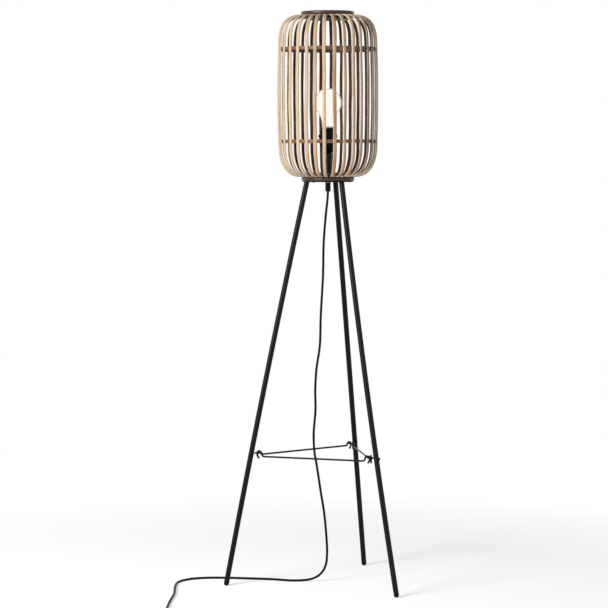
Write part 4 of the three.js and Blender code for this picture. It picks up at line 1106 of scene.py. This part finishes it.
def build_spreader(lamp):
    tripod = lamp.tripod
    cut_edge = 0.4 * MM
    wire = grained_material("blackened wire", tripod.wire, roughness=0.34, grit=0.4 * MM,
                            depth=0.02 * MM, gloss=0.15, metal=0.4)
    for i, name in enumerate(LEG_NAMES):
        build_eye(tripod, i, name, wire)
    eyes = [about_axis(leg_turn(tripod, i)) @ eye_middle(tripod, i) for i in range(len(LEG_NAMES))]
    for i, name in enumerate(LEG_NAMES):
        other = (i + 1) % len(LEG_NAMES)
        start, end = eyes[i], eyes[other]
        along = (end - start).normalized()
        outward = along.cross(Vector((0, 0, 1))) * rod_offset(tripod)
        hook = hook_line(tripod, tripod.rod_bends[i])
        near = [start + along * d + outward + Vector((0, 0, h)) for d, h in hook]
        far = [end - along * d + outward + Vector((0, 0, h)) for d, h in reversed(hook)]
        rod = Form().tube(softened(near + far, cut_edge), tripod.rod_radius, 20)
        pair = f"{name}_{LEG_NAMES[other]}"
        settled(rod.object(f"spreader_{pair}_wire", wire), f"spreader_{pair}", "black_wire",
                f"spreader_rod_{pair}")


def softened(line, reach):
    """The same line with a short extra point near each end, so that the cut ends are rounded off."""
    first = line[0] + (line[1] - line[0]).normalized() * reach
    last = line[-1] + (line[-2] - line[-1]).normalized() * reach
    return [line[0], first, *line[1:-1], last, line[-1]]


def build_eye(tripod, i, name, wire):
    """An eye bent from wire; its shank runs through the leg to a nut, or ends in the tube."""
    place = about_axis(leg_turn(tripod, i))
    centre = eye_middle(tripod, i)
    ring, thick = eye_radius(tripod), tripod.eye_wire
    steps, sides = 48, 14
    loops = []
    for k in range(steps):
        out = Vector((math.cos(TURN * k / steps), math.sin(TURN * k / steps), 0))
        loops.append([])
        for m in range(sides):
            turn_by = TURN * m / sides
            rise = Vector((0, 0, thick * math.sin(turn_by)))
            loops[-1].append(place @ (centre + out * (ring + thick * math.cos(turn_by)) + rise))
    form = Form().loops(loops, closed=True)
    leg = leg_point(tripod, i, tripod.eye_height).x
    nut_start = leg + leg_reach(tripod, i, tripod.nut_radius) + SEAT_GAP
    nut_end = nut_start + tripod.nut_height
    with_nut = tripod.with_nuts[i]
    shank_end = nut_end + tripod.thread_end if with_nut else leg
    bevel = 0.4 * MM
    stations = (centre.x + ring, shank_end - bevel, shank_end)
    along = [place @ Vector((x, 0, tripod.eye_height)) for x in stations]
    form.tube(along, [thick, thick, thick - bevel], sides)
    if with_nut:
        stations = (nut_start, nut_start + bevel, nut_end - bevel, nut_end)
        radii = [tripod.nut_radius - bevel, tripod.nut_radius, tripod.nut_radius, tripod.nut_radius - bevel]
        form.tube([place @ Vector((x, 0, tripod.eye_height)) for x in stations], radii, 6)
    settled(form.object(f"eye_{name}_wire", wire, math.radians(30)), ROOT, "black_steel", f"eye_bolt_{name}")


# Lampholder and bulb

def build_lampholder(lamp):
    """A domed cap with a rim, and the skirt that is screwed into it."""
    phenolic = grained_material("moulded black phenolic", lamp.fitting.phenolic, roughness=0.28,
                                grit=0.6 * MM, depth=0.01 * MM, gloss=0.08)
    low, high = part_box("lampholder_cap")
    skirt_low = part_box("lampholder_skirt")[0]
    rim_radius, skirt_radius = box_radius("lampholder_cap"), box_radius("lampholder_skirt")
    wall, neck, rim = 2 * MM, 7.1 * MM, 8 * MM
    skirt_bore, insert_seat, insert_ledge = 14.2 * MM, 14.5 * MM, 12.5 * MM
    rim_bottom = high.z - rim
    pocket = skirt_radius + SEAT_GAP
    pocket_floor = skirt_low.z - SEAT_GAP
    profile = [(neck - wall, low.z + 0.5 * MM), (neck - 0.6 * MM, low.z)]
    steps = 20
    for k in range(steps + 1):
        turn_by = math.pi / 2 * k / steps
        profile.append((neck + (skirt_radius + wall - neck) * math.sin(turn_by),
                        rim_bottom - (rim_bottom - low.z) * math.cos(turn_by)))
    profile += [(rim_radius - 0.5 * MM, rim_bottom + 0.6 * MM), (rim_radius, rim_bottom + 1.2 * MM),
                (rim_radius, high.z - 1 * MM), (rim_radius - 0.3 * MM, high.z - 0.3 * MM),
                (rim_radius - 1 * MM, high.z), (pocket + 0.3 * MM, high.z), (pocket, high.z - 0.3 * MM),
                (pocket, pocket_floor)]
    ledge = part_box("lampholder_insert")[0].z - SEAT_GAP
    profile += [(insert_seat, pocket_floor), (insert_seat, ledge), (insert_ledge, ledge),
                (neck, low.z + 2 * wall), (neck - wall, low.z + wall)]
    cap = Form().turned(profile, 96, about_axis(), closed=True)
    settled(cap.object("lampholder_cap_moulded", phenolic), ROOT, "black_bakelite", "lampholder_cap")
    section = ring_section("lampholder_skirt", skirt_bore, 0.8 * MM, 4)
    skirt = Form().turned(section, 96, about_axis(), closed=True)
    settled(skirt.object("lampholder_skirt_moulded", phenolic), ROOT, "black_bakelite", "lampholder_skirt")
    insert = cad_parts["lampholder_insert"]
    insert.data.materials.clear()
    insert.data.materials.append(ceramic_material())


def bulb_line(fitting, wall):
    """Line of the glass from the neck to the top: a neck that flares, then a round head."""
    low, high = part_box("bulb_glass")
    neck_radius = 13 * MM - wall
    belly, crown = fitting.bulb_radius - wall, fitting.bulb_crown - wall
    widest = high.z - fitting.bulb_crown
    arc = fitting.bulb_arc
    neck = Vector((neck_radius, low.z))
    head = Vector((belly * math.cos(arc), widest - belly * math.sin(arc)))
    flare = Vector((neck.x, head.y - (head.x - neck.x) / math.tan(arc)))
    neck_steps, arc_steps, crown_steps = 16, 10, 22
    line = []
    for k in range(neck_steps):
        share = k / neck_steps
        line.append(neck * (1 - share) ** 2 + flare * 2 * share * (1 - share) + head * share ** 2)
    for k in range(arc_steps):
        turn_by = arc * (1 - k / arc_steps)
        line.append(Vector((belly * math.cos(turn_by), widest - belly * math.sin(turn_by))))
    for k in range(crown_steps):
        turn_by = math.pi / 2 * k / crown_steps
        line.append(Vector((belly * math.cos(turn_by), widest + crown * math.sin(turn_by))))
    return line


def build_bulb(lamp):
    """The glass as one wall, up the outside and back down the inside, with its filaments and cap."""
    fitting = lamp.fitting
    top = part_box("bulb_glass")[1].z
    wall = fitting.bulb_wall
    pole = 0.4 * MM
    closing = [Vector((pole, top)), Vector((pole, top - wall))]
    around = [*bulb_line(fitting, 0), *closing, *reversed(bulb_line(fitting, wall))]
    glass = Form().turned(around, 96, about_axis(), closed=True)
    settled(glass.object("bulb_glass_blown", glass_material(fitting)), "bulb", "bulb_glass", "bulb_glass")
    build_filaments(fitting)
    build_bulb_cap(fitting)


def build_filaments(fitting):
    """A glass stem with four lit bars that lean out to a wire crown."""
    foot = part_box("bulb_glass")[0].z
    bar_radius, crown_wire, lead_wire = 0.9 * MM, 0.35 * MM, 0.3 * MM
    lead_start, bar_start, stem_top, bar_end, crown_top = (
        foot + rise * MM for rise in (16, 20, 24, 56, 60))
    low_reach, high_reach = 5 * MM, 9 * MM
    bars, wires = Form(), Form()
    crown = at((0, 0, crown_top))
    wires.tube([at((0, 0, stem_top)), crown], crown_wire, 8)
    for k in range(4):
        turn_by = TURN * (k + 0.5) / 4
        out = Vector((math.cos(turn_by), math.sin(turn_by), 0))
        low_end = at(out * low_reach + Vector((0, 0, bar_start)))
        high_end = at(out * high_reach + Vector((0, 0, bar_end)))
        bars.tube([low_end, high_end], bar_radius, 12)
        wires.tube([crown, high_end], lead_wire, 8)
        wires.tube([at((0, 0, lead_start)), low_end], lead_wire, 8)
    settled(bars.object("bulb_filaments", filament_material()), "bulb", "bulb_glass")
    profile = [(10, 1), (9, 3), (4, 9), (2.6, 14), (2.4, 22), (1.2, 24), (0.4, 24.5)]
    stem = Form().turned([(radius * MM, foot + rise * MM) for radius, rise in profile], 32, about_axis())
    settled(stem.object("bulb_stem", clear_material()), "bulb", "bulb_glass")
    nickel = metal_material("nickel wire", "#c4beb2", roughness=0.3)
    settled(wires.object("bulb_support_wires", nickel), "bulb", "nickel")


def build_bulb_cap(fitting):
    """The screw thread, the black cone under it and the contact at its tip."""
    low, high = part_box("bulb_cap")
    radius = box_radius("bulb_cap")
    cone_top, thread_start, thread_depth = low.z + 7.4 * MM, low.z + 7.5 * MM, 1.1 * MM
    thread_crease = math.radians(60)
    shell = Form().thread(thread_start, high.z, radius, thread_depth, fitting.thread_pitch, 64, about_axis())
    brass = metal_material("nickel plated brass", "#bdb8ad", roughness=0.26)
    settled(shell.object("bulb_cap_thread", brass, thread_crease), "bulb", "nickel", "bulb_cap")
    black_glass = grained_material("pressed black glass", linear("#0c0c0e"), roughness=0.15, grit=0.6 * MM,
                                   depth=0.01 * MM)
    cone = Form().turned([(3.5 * MM, low.z + 1.2 * MM), (7 * MM, low.z + 1.5 * MM),
                          (radius - 1.2 * MM, cone_top)], 48, about_axis())
    settled(cone.object("bulb_insulator", black_glass), "bulb", "black_bakelite")
    contact = Form().turned([(2.2 * MM, low.z), (3.4 * MM, low.z + 0.5 * MM), (3.6 * MM, low.z + 1.4 * MM)],
                            32, about_axis())
    tin = metal_material("tinned contact", "#a9a69c", roughness=0.35)
    settled(contact.object("bulb_contact", tin), "bulb", "nickel")


# Flex, switch and plug

SWITCH_ENTRY = 8 * MM
RELIEF_LENGTH = 22 * MM
PLUG_THICKNESS = 13.7 * MM


def switch_end(flex, side):
    """Where the flex enters the switch's strain relief, at one side."""
    low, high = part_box("switch_housing")
    x, y = flex.switch_middle
    return at((x + side * (high.x - low.x) / 2, y, SWITCH_ENTRY))


def flex_route(flex):
    """The flex's route in metres from the lamp's axis: from the gland to the switch."""
    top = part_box("cord")[1].z
    return [at(p) for p in (
        (0, 0, top), (-0.001, 0, 0.879), (-0.005, 0, 0.841), (-0.0099, 0, 0.780), (-0.0117, 0, 0.705),
        (-0.0171, 0, 0.610), (-0.0193, 0, 0.545), (-0.0272, 0, 0.490), (-0.030, 0, 0.445),
        (-0.0297, 0, 0.395), (-0.0338, 0, 0.345), (-0.0324, 0, 0.302), (-0.0268, 0, 0.268),
        (-0.0187, 0.0005, 0.213), (-0.0102, 0.001, 0.158), (-0.0053, 0.002, 0.103),
        (-0.004, 0.004, 0.066), (-0.0075, 0.006, 0.038), (-0.019, 0.008, 0.018), (-0.038, 0.009, 0.007),
        (-0.062, 0.0085, 0.0034),
        (-0.088, 0.009, 0.0029), (-0.122, 0.022, 0.0029), (-0.160, 0.031, 0.0029), (-0.205, 0.039, 0.0029),
        (-0.250, 0.044, 0.0029), (-0.285, 0.043, 0.0029), (-0.320, 0.028, 0.0029), (-0.343, -0.005, 0.0029),
        (-0.348, -0.060, 0.0029), (-0.345, -0.150, 0.0029), (-0.349, -0.250, 0.0029),
        (-0.350, -0.350, 0.0029), (-0.347, -0.420, 0.0029), (-0.333, -0.452, 0.0032),
        (-0.308, -0.467, 0.0055), (-0.295, -0.469, 0.0076),
    )] + [switch_end(flex, -1)]


def smoothed(points, step):
    """A centripetal curve through the points, with corners about a step apart."""
    ends = [points[0] * 2 - points[1], *points, points[-1] * 2 - points[-2]]
    line = []
    for i in range(1, len(ends) - 2):
        p0, p1, p2, p3 = ends[i - 1:i + 3]
        d0, d1, d2 = ((b - a).length ** 0.5 for a, b in ((p0, p1), (p1, p2), (p2, p3)))
        out_of = ((p1 - p0) / d0 - (p2 - p0) / (d0 + d1) + (p2 - p1) / d1) * d1
        into = ((p2 - p1) / d1 - (p3 - p1) / (d1 + d2) + (p3 - p2) / d2) * d1
        parts = max(2, math.ceil((p2 - p1).length / step))
        for k in range(parts):
            t = k / parts
            line.append(p1 * (2 * t ** 3 - 3 * t ** 2 + 1) + out_of * (t ** 3 - 2 * t ** 2 + t)
                        + p2 * (3 * t ** 2 - 2 * t ** 3) + into * (t ** 3 - t ** 2))
    return [*line, points[-1]]


def coil_route(flex):
    """In from the switch, two turns inwards, up a layer, two turns outwards and on to the plug."""
    thick = flex.diameter
    pitch = thick + flex.turn_gap
    outer = flex.coil_radius + pitch * flex.coil_turns / 2
    layer = TURN * flex.coil_turns
    whole = 2 * layer + math.pi
    start = switch_end(flex, 1)
    centre = Vector((start.x + SEAT_GAP + flex.coil_lead, start.y + outer, 0))
    first = start.x + SEAT_GAP
    route = [start, Vector((first + thick, start.y, start.z))]
    drop = flex.coil_lead - 2 * thick
    fall_steps = 12
    for i in range(1, fall_steps + 1):
        share = i / fall_steps
        fall = (1 - math.cos(math.pi * share)) / 2
        height = SWITCH_ENTRY + (thick / 2 - SWITCH_ENTRY) * fall
        route.append(Vector((first + thick + drop * share, start.y, height)))
    turn_steps = round(72 * whole / TURN)
    for i in range(turn_steps + 1):
        turned = whole * i / turn_steps
        back = min(max(turned - layer, 0), math.pi)
        dip = pitch * (math.pi / 2 - abs(back - math.pi / 2)) / TURN
        inwards = pitch * min(turned, layer) / TURN
        outwards = pitch * max(turned - layer - math.pi, 0) / TURN
        radius = outer - inwards + outwards - dip
        height = thick / 2 + pitch * (1 - math.cos(back)) / 2
        x, y = centre.x + radius * math.sin(turned), centre.y - radius * math.cos(turned)
        route.append(Vector((x, y, height)))
    leave = route[-1]
    settle = flex.coil_tail - 2 * thick
    rise_steps = 6
    for i in range(1, rise_steps + 1):
        share = i / rise_steps
        rise = (1 - math.cos(math.pi * share)) / 2
        height = leave.z + (PLUG_THICKNESS / 2 - leave.z) * rise
        route.append(Vector((leave.x - thick - settle * share, leave.y, height)))
    route.append(Vector((leave.x - flex.coil_tail - SEAT_GAP, leave.y, PLUG_THICKNESS / 2)))
    return route


def build_tie(flex):
    """A woven tape round the coil's four turns, where they lie two on two."""
    thick = flex.diameter
    pitch = thick + flex.turn_gap
    outer = flex.coil_radius + pitch * flex.coil_turns / 2
    start = switch_end(flex, 1)
    centre = at((0, 0, 0))
    centre.x = start.x + SEAT_GAP + flex.coil_lead - outer + 1.25 * pitch
    centre.y = start.y + outer
    half = (pitch + thick) / 2 + 0.2 * MM
    tape, width = 1 * MM, 6 * MM
    path = rounded([(-half, 1.05 * MM), (half, 1.05 * MM), (half, thick + pitch), (-half, thick + pitch)],
                   2.4 * MM, 6)
    loops = []
    for k, here in enumerate(path):
        along = (path[(k + 1) % len(path)] - path[k - 1]).normalized()
        out = here + Vector((along.y, -along.x)) * tape
        loops.append([centre + Vector((corner.x, side * width / 2, corner.y))
                      for corner, side in ((here, -1), (out, -1), (out, 1), (here, 1))])
    weave = grained_material("woven nylon tape", flex.rubber, roughness=0.8, grit=0.5 * MM,
                             depth=0.1 * MM, gloss=0.2)
    return settled(Form().loops(loops, closed=True).object("coil_tie", weave), ROOT, "black_nylon")


def build_flex(lamp):
    flex = lamp.flex
    rubber = grained_material("black PVC sheath", flex.rubber, roughness=0.5, grit=0.7 * MM,
                              depth=0.02 * MM, gloss=0.1)
    held = Vector((RELIEF_LENGTH + 4 * MM, 0, 0))
    gland_low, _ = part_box("cord_gland")
    first = [at((0, 0, gland_low.z + 2 * MM))] + smoothed(flex_route(flex), 4 * MM)
    first.append(first[-1] + held)
    second = coil_route(flex)
    second = [second[0] - held, *second]
    lead = Form().tube(first, flex.diameter / 2, 16).object("flex_to_switch", rubber)
    spare = Form().tube(second, flex.diameter / 2, 16).object("flex_to_plug", rubber)
    settled(lead, ROOT, "flex", "cord")
    settled(spare, ROOT, "flex", "cord_coil")
    build_tie(flex)


def relief_profile(flex):
    """A tapered strain relief with shallow grooves, and a bore for the flex at its tip."""
    tip, base, groove = flex.diameter / 2 + 0.9 * MM, 5.2 * MM, 0.45 * MM
    profile = [(base, -3 * MM)]
    grooves = 5
    for k in range(grooves):
        start = RELIEF_LENGTH * (0.12 + 0.76 * k / grooves)
        width = RELIEF_LENGTH * 0.05
        for reach, depth in ((0, 0), (width * 0.3, groove), (width * 1.1, groove), (width * 1.4, 0)):
            share = (start + reach) / RELIEF_LENGTH
            profile.append((base + (tip - base) * share - depth, start + reach))
    profile += [(tip, RELIEF_LENGTH - 0.5 * MM), (tip - 0.4 * MM, RELIEF_LENGTH)]
    return profile


def pointing(place, direction):
    """A place whose Z axis points along a direction."""
    turn_by = Vector((0, 0, 1)).rotation_difference(Vector(direction)).to_matrix().to_4x4()
    return Matrix.Translation(place) @ turn_by


def oval(long_side, short_side, steps):
    """An oval with straight sides, as a loop of corners about the origin."""
    radius = short_side / 2
    straight = long_side / 2 - radius
    loop = []
    for k in range(steps):
        turn_by = TURN * (k + 0.5) / steps
        side = straight if math.cos(turn_by) > 0 else -straight
        loop.append(Vector((side + radius * math.cos(turn_by), radius * math.sin(turn_by), 0)))
    return loop


def build_switch(lamp):
    flex = lamp.flex
    shell_plastic = grained_material("black ABS", flex.shell, roughness=0.42, grit=0.35 * MM,
                                     depth=0.04 * MM, gloss=0.2)
    low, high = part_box("switch_housing")
    x, y = flex.switch_middle
    centre = at((x, y, 0))
    body_length = high.x - low.x - 2 * RELIEF_LENGTH
    width = high.y - low.y
    steps = 96
    loop = [corner + centre for corner in oval(body_length, width, steps)]
    well = 12 * MM
    well_floor = 5 * MM
    form = Form()
    seam = high.z * 0.45
    rings = []
    for height, drawn in ((0, 2.6), (0.25, 1.6), (0.9, 0.7), (1.9, 0.15), (2.8, 0)):
        rings.append(raised(inset(loop, drawn * MM), height * MM))
    for above, drawn in ((-0.35, 0), (-0.3, 0.35), (0.3, 0.35), (0.35, 0)):
        rings.append(raised(inset(loop, drawn * MM), seam + above * MM))
    for under, drawn in ((4.5, 0), (2.6, 0.3), (1.3, 1.0), (0.5, 2.2), (0.1, 3.8), (0, 5.2)):
        rings.append(raised(inset(loop, drawn * MM), high.z - under * MM))
    turns = [TURN * (k + 0.5) / steps for k in range(steps)]
    for radius, height in ((well + 1.2 * MM, high.z), (well + 0.3 * MM, high.z - 0.2 * MM),
                           (well, high.z - 0.8 * MM), (well, well_floor)):
        rings.append([centre + Vector((radius * math.cos(a), radius * math.sin(a), height)) for a in turns])
    form.loops(rings)
    for side in (1, -1):
        root = centre + Vector((side * body_length / 2, 0, SWITCH_ENTRY))
        form.turned(relief_profile(flex), 32, pointing(root, (side, 0, 0)))
    settled(form.object("switch_shell", shell_plastic), ROOT, "black_abs", "switch_housing")
    key_low, key_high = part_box("switch_button")
    radius = box_radius("switch_button")
    key_profile = [(radius - 0.4 * MM, key_low.z), (radius, key_low.z + 0.4 * MM)]
    for drawn, under in ((0, 2.2), (0.5, 1.1), (1.5, 0.4), (3, 0.05), (4, 0.1), (6, 0.7)):
        key_profile.append((radius - drawn * MM, key_high.z - under * MM))
    key_profile.append((1 * MM, key_high.z - 1.2 * MM))
    key = Form().turned(key_profile, 64, Matrix.Translation(centre))
    settled(key.object("switch_key", shell_plastic), "foot_switch_button", "black_abs", "switch_button")


def build_plug(lamp):
    flex = lamp.flex
    shell_plastic = bpy.data.materials["black ABS"]
    low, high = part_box("plug")
    tail = Vector((high.x, (low.y + high.y) / 2, PLUG_THICKNESS / 2))
    body_start = high.x - RELIEF_LENGTH
    body_length, pin_length, spacing = 35 * MM, 19 * MM, 18.6 * MM
    width, tail_width = high.y - low.y, 15 * MM
    outline = [(0, -tail_width / 2), (-body_length * 0.22, -tail_width / 2 - 1 * MM),
               (-body_length * 0.5, -width / 2), (-body_length, -width / 2), (-body_length, width / 2),
               (-body_length * 0.5, width / 2), (-body_length * 0.22, tail_width / 2 + 1 * MM),
               (0, tail_width / 2)]
    flat_loop = [Vector((body_start + p.x, tail.y + p.y, 0)) for p in rounded(outline, 5 * MM, 6)]
    flat_loop.reverse()
    rings = [raised(inset(flat_loop, drawn * MM), height * MM) for height, drawn in (
        (0, 2.4), (0.3, 1.4), (1.0, 0.6), (2.2, 0.1), (3.2, 0), (6.6, 0), (6.7, 0.25), (7.0, 0.25), (7.1, 0),
        (10.5, 0), (11.5, 0.1), (12.7, 0.6), (13.4, 1.4), (13.7, 2.4))]
    form = Form().loops(rings)
    form.turned(relief_profile(flex), 32, pointing(Vector((body_start, tail.y, tail.z)), (1, 0, 0)))
    settled(form.object("plug_moulded", shell_plastic), ROOT, "black_abs", "plug")
    pins = Form()
    for side in (-1, 1):
        root = Vector((body_start - body_length + 2 * MM, tail.y + side * spacing / 2, tail.z))
        reaches = (0, pin_length, pin_length + 1 * MM, pin_length + 1.6 * MM, pin_length + 2 * MM)
        ends = [root + Vector((-reach, 0, 0)) for reach in reaches]
        pins.tube(ends, [2 * MM, 2 * MM, 1.8 * MM, 1.3 * MM, 0.6 * MM], 20)
    plated = metal_material("nickel plated pins", "#c2bdb1", roughness=0.25)
    settled(pins.object("plug_pins", plated), ROOT, "nickel")


def build_gland(lamp):
    """A moulded nylon gland: a plain collar with a bevelled tip, its shank up in the hub."""
    nylon = grained_material("moulded nylon", lamp.tripod.glide, roughness=0.45, grit=0.5 * MM,
                             depth=0.03 * MM, gloss=0.1)
    low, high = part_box("cord_gland")
    radius = box_radius("cord_gland")
    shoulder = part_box("bottom_ring")[0].z - HUB_PLATE - 2 * SEAT_GAP
    tip = lamp.flex.diameter / 2 + 0.15 * MM
    profile = [(tip, low.z + 2 * MM), (tip, low.z + 0.2 * MM), (radius - 1.6 * MM, low.z),
               (radius - 0.8 * MM, low.z + 0.15 * MM), (radius - 0.1 * MM, low.z + 0.9 * MM),
               (radius, low.z + 1.3 * MM), (radius, shoulder - 0.3 * MM), (radius - 0.3 * MM, shoulder),
               (4.7 * MM, shoulder), (4.7 * MM, high.z), (1 * MM, high.z)]
    gland = Form().turned(profile, 48, about_axis())
    settled(gland.object("gland_moulded", nylon), ROOT, "black_nylon", "cord_gland")


# Operators: one for the stage, and one for each piece or group of like pieces

class FLOORLAMP_OT_stage(bpy.types.Operator):
    """Sets the camera, the lamps and the white floor"""

    bl_idname = "floor_lamp.stage"
    bl_label = "Studio"

    def execute(self, context):
        build_stage(context.scene.floor_lamp)
        return {"FINISHED"}


class FLOORLAMP_OT_switch(bpy.types.Operator):
    """Moulds the foot switch and its button"""

    bl_idname = "floor_lamp.switch"
    bl_label = "Foot Switch"

    def execute(self, context):
        build_switch(context.scene.floor_lamp)
        return {"FINISHED"}


class FLOORLAMP_OT_plug(bpy.types.Operator):
    """Moulds the flat plug and its pins"""

    bl_idname = "floor_lamp.plug"
    bl_label = "Plug"

    def execute(self, context):
        build_plug(context.scene.floor_lamp)
        return {"FINISHED"}


class FLOORLAMP_OT_flex(bpy.types.Operator):
    """Lays the flex, winds its spare length and ties it"""

    bl_idname = "floor_lamp.flex"
    bl_label = "Flex"

    def execute(self, context):
        build_flex(context.scene.floor_lamp)
        return {"FINISHED"}


class FLOORLAMP_OT_slats(bpy.types.Operator):
    """Bends the rattan slats between the rings"""

    bl_idname = "floor_lamp.slats"
    bl_label = "Rattan Slats"

    def execute(self, context):
        build_slats(context.scene.floor_lamp)
        return {"FINISHED"}


class FLOORLAMP_OT_rings(bpy.types.Operator):
    """Turns the four stained rings"""

    bl_idname = "floor_lamp.rings"
    bl_label = "Wooden Rings"

    def execute(self, context):
        build_rings(context.scene.floor_lamp)
        return {"FINISHED"}


class FLOORLAMP_OT_hoops(bpy.types.Operator):
    """Bends the two hoops inside the slats"""

    bl_idname = "floor_lamp.hoops"
    bl_label = "Hoops"

    def execute(self, context):
        build_hoops(context.scene.floor_lamp)
        return {"FINISHED"}


class FLOORLAMP_OT_tripod(bpy.types.Operator):
    """Makes the hub, the legs and their glides"""

    bl_idname = "floor_lamp.tripod"
    bl_label = "Tripod"

    def execute(self, context):
        build_tripod(context.scene.floor_lamp)
        return {"FINISHED"}


class FLOORLAMP_OT_screws(bpy.types.Operator):
    """Sets the screws that hold the hub to the bottom ring"""

    bl_idname = "floor_lamp.screws"
    bl_label = "Hub Screws"

    def execute(self, context):
        build_screws(context.scene.floor_lamp)
        return {"FINISHED"}


class FLOORLAMP_OT_spreader(bpy.types.Operator):
    """Bends the eye bolts and the hooked rods"""

    bl_idname = "floor_lamp.spreader"
    bl_label = "Spreader"

    def execute(self, context):
        build_spreader(context.scene.floor_lamp)
        return {"FINISHED"}


class FLOORLAMP_OT_lampholder(bpy.types.Operator):
    """Moulds the lampholder's cap and skirt"""

    bl_idname = "floor_lamp.lampholder"
    bl_label = "Lampholder"

    def execute(self, context):
        build_lampholder(context.scene.floor_lamp)
        return {"FINISHED"}


class FLOORLAMP_OT_gland(bpy.types.Operator):
    """Moulds the gland under the hub"""

    bl_idname = "floor_lamp.gland"
    bl_label = "Cord Gland"

    def execute(self, context):
        build_gland(context.scene.floor_lamp)
        return {"FINISHED"}


class FLOORLAMP_OT_bulb(bpy.types.Operator):
    """Blows the bulb and fits its filaments and cap"""

    bl_idname = "floor_lamp.bulb"
    bl_label = "Bulb"

    def execute(self, context):
        build_bulb(context.scene.floor_lamp)
        return {"FINISHED"}


OPERATORS = [
    FLOORLAMP_OT_stage, FLOORLAMP_OT_switch, FLOORLAMP_OT_plug, FLOORLAMP_OT_flex,
    FLOORLAMP_OT_slats, FLOORLAMP_OT_rings, FLOORLAMP_OT_hoops, FLOORLAMP_OT_tripod,
    FLOORLAMP_OT_screws, FLOORLAMP_OT_spreader, FLOORLAMP_OT_lampholder, FLOORLAMP_OT_gland,
    FLOORLAMP_OT_bulb,
]


class FLOORLAMP_PT_pieces(bpy.types.Panel):
    """Lists the pieces of the lamp"""

    bl_idname = "FLOORLAMP_PT_pieces"
    bl_label = "Rattan Floor Lamp"
    bl_space_type = "VIEW_3D"
    bl_region_type = "UI"
    bl_category = "Floor Lamp"

    def draw(self, context):
        for kind in OPERATORS:
            self.layout.operator(kind.bl_idname)


CLASSES = [StageSettings, ShadeSettings, TripodSettings, FittingSettings, FlexSettings, LampSettings,
           *OPERATORS, FLOORLAMP_PT_pieces]


def register():
    for kind in CLASSES:
        bpy.utils.register_class(kind)
    bpy.types.Scene.floor_lamp = bpy.props.PointerProperty(type=LampSettings)


def unregister():
    del bpy.types.Scene.floor_lamp
    for kind in reversed(CLASSES):
        bpy.utils.unregister_class(kind)


def main():
    register()
    lamp = bpy.ops.floor_lamp
    lamp.stage()
    lamp.switch()
    lamp.plug()
    lamp.flex()
    lamp.slats()
    lamp.rings()
    lamp.hoops()
    lamp.tripod()
    lamp.screws()
    lamp.spreader()
    lamp.lampholder()
    lamp.gland()
    lamp.bulb()


if __name__ == "__main__":
    main()
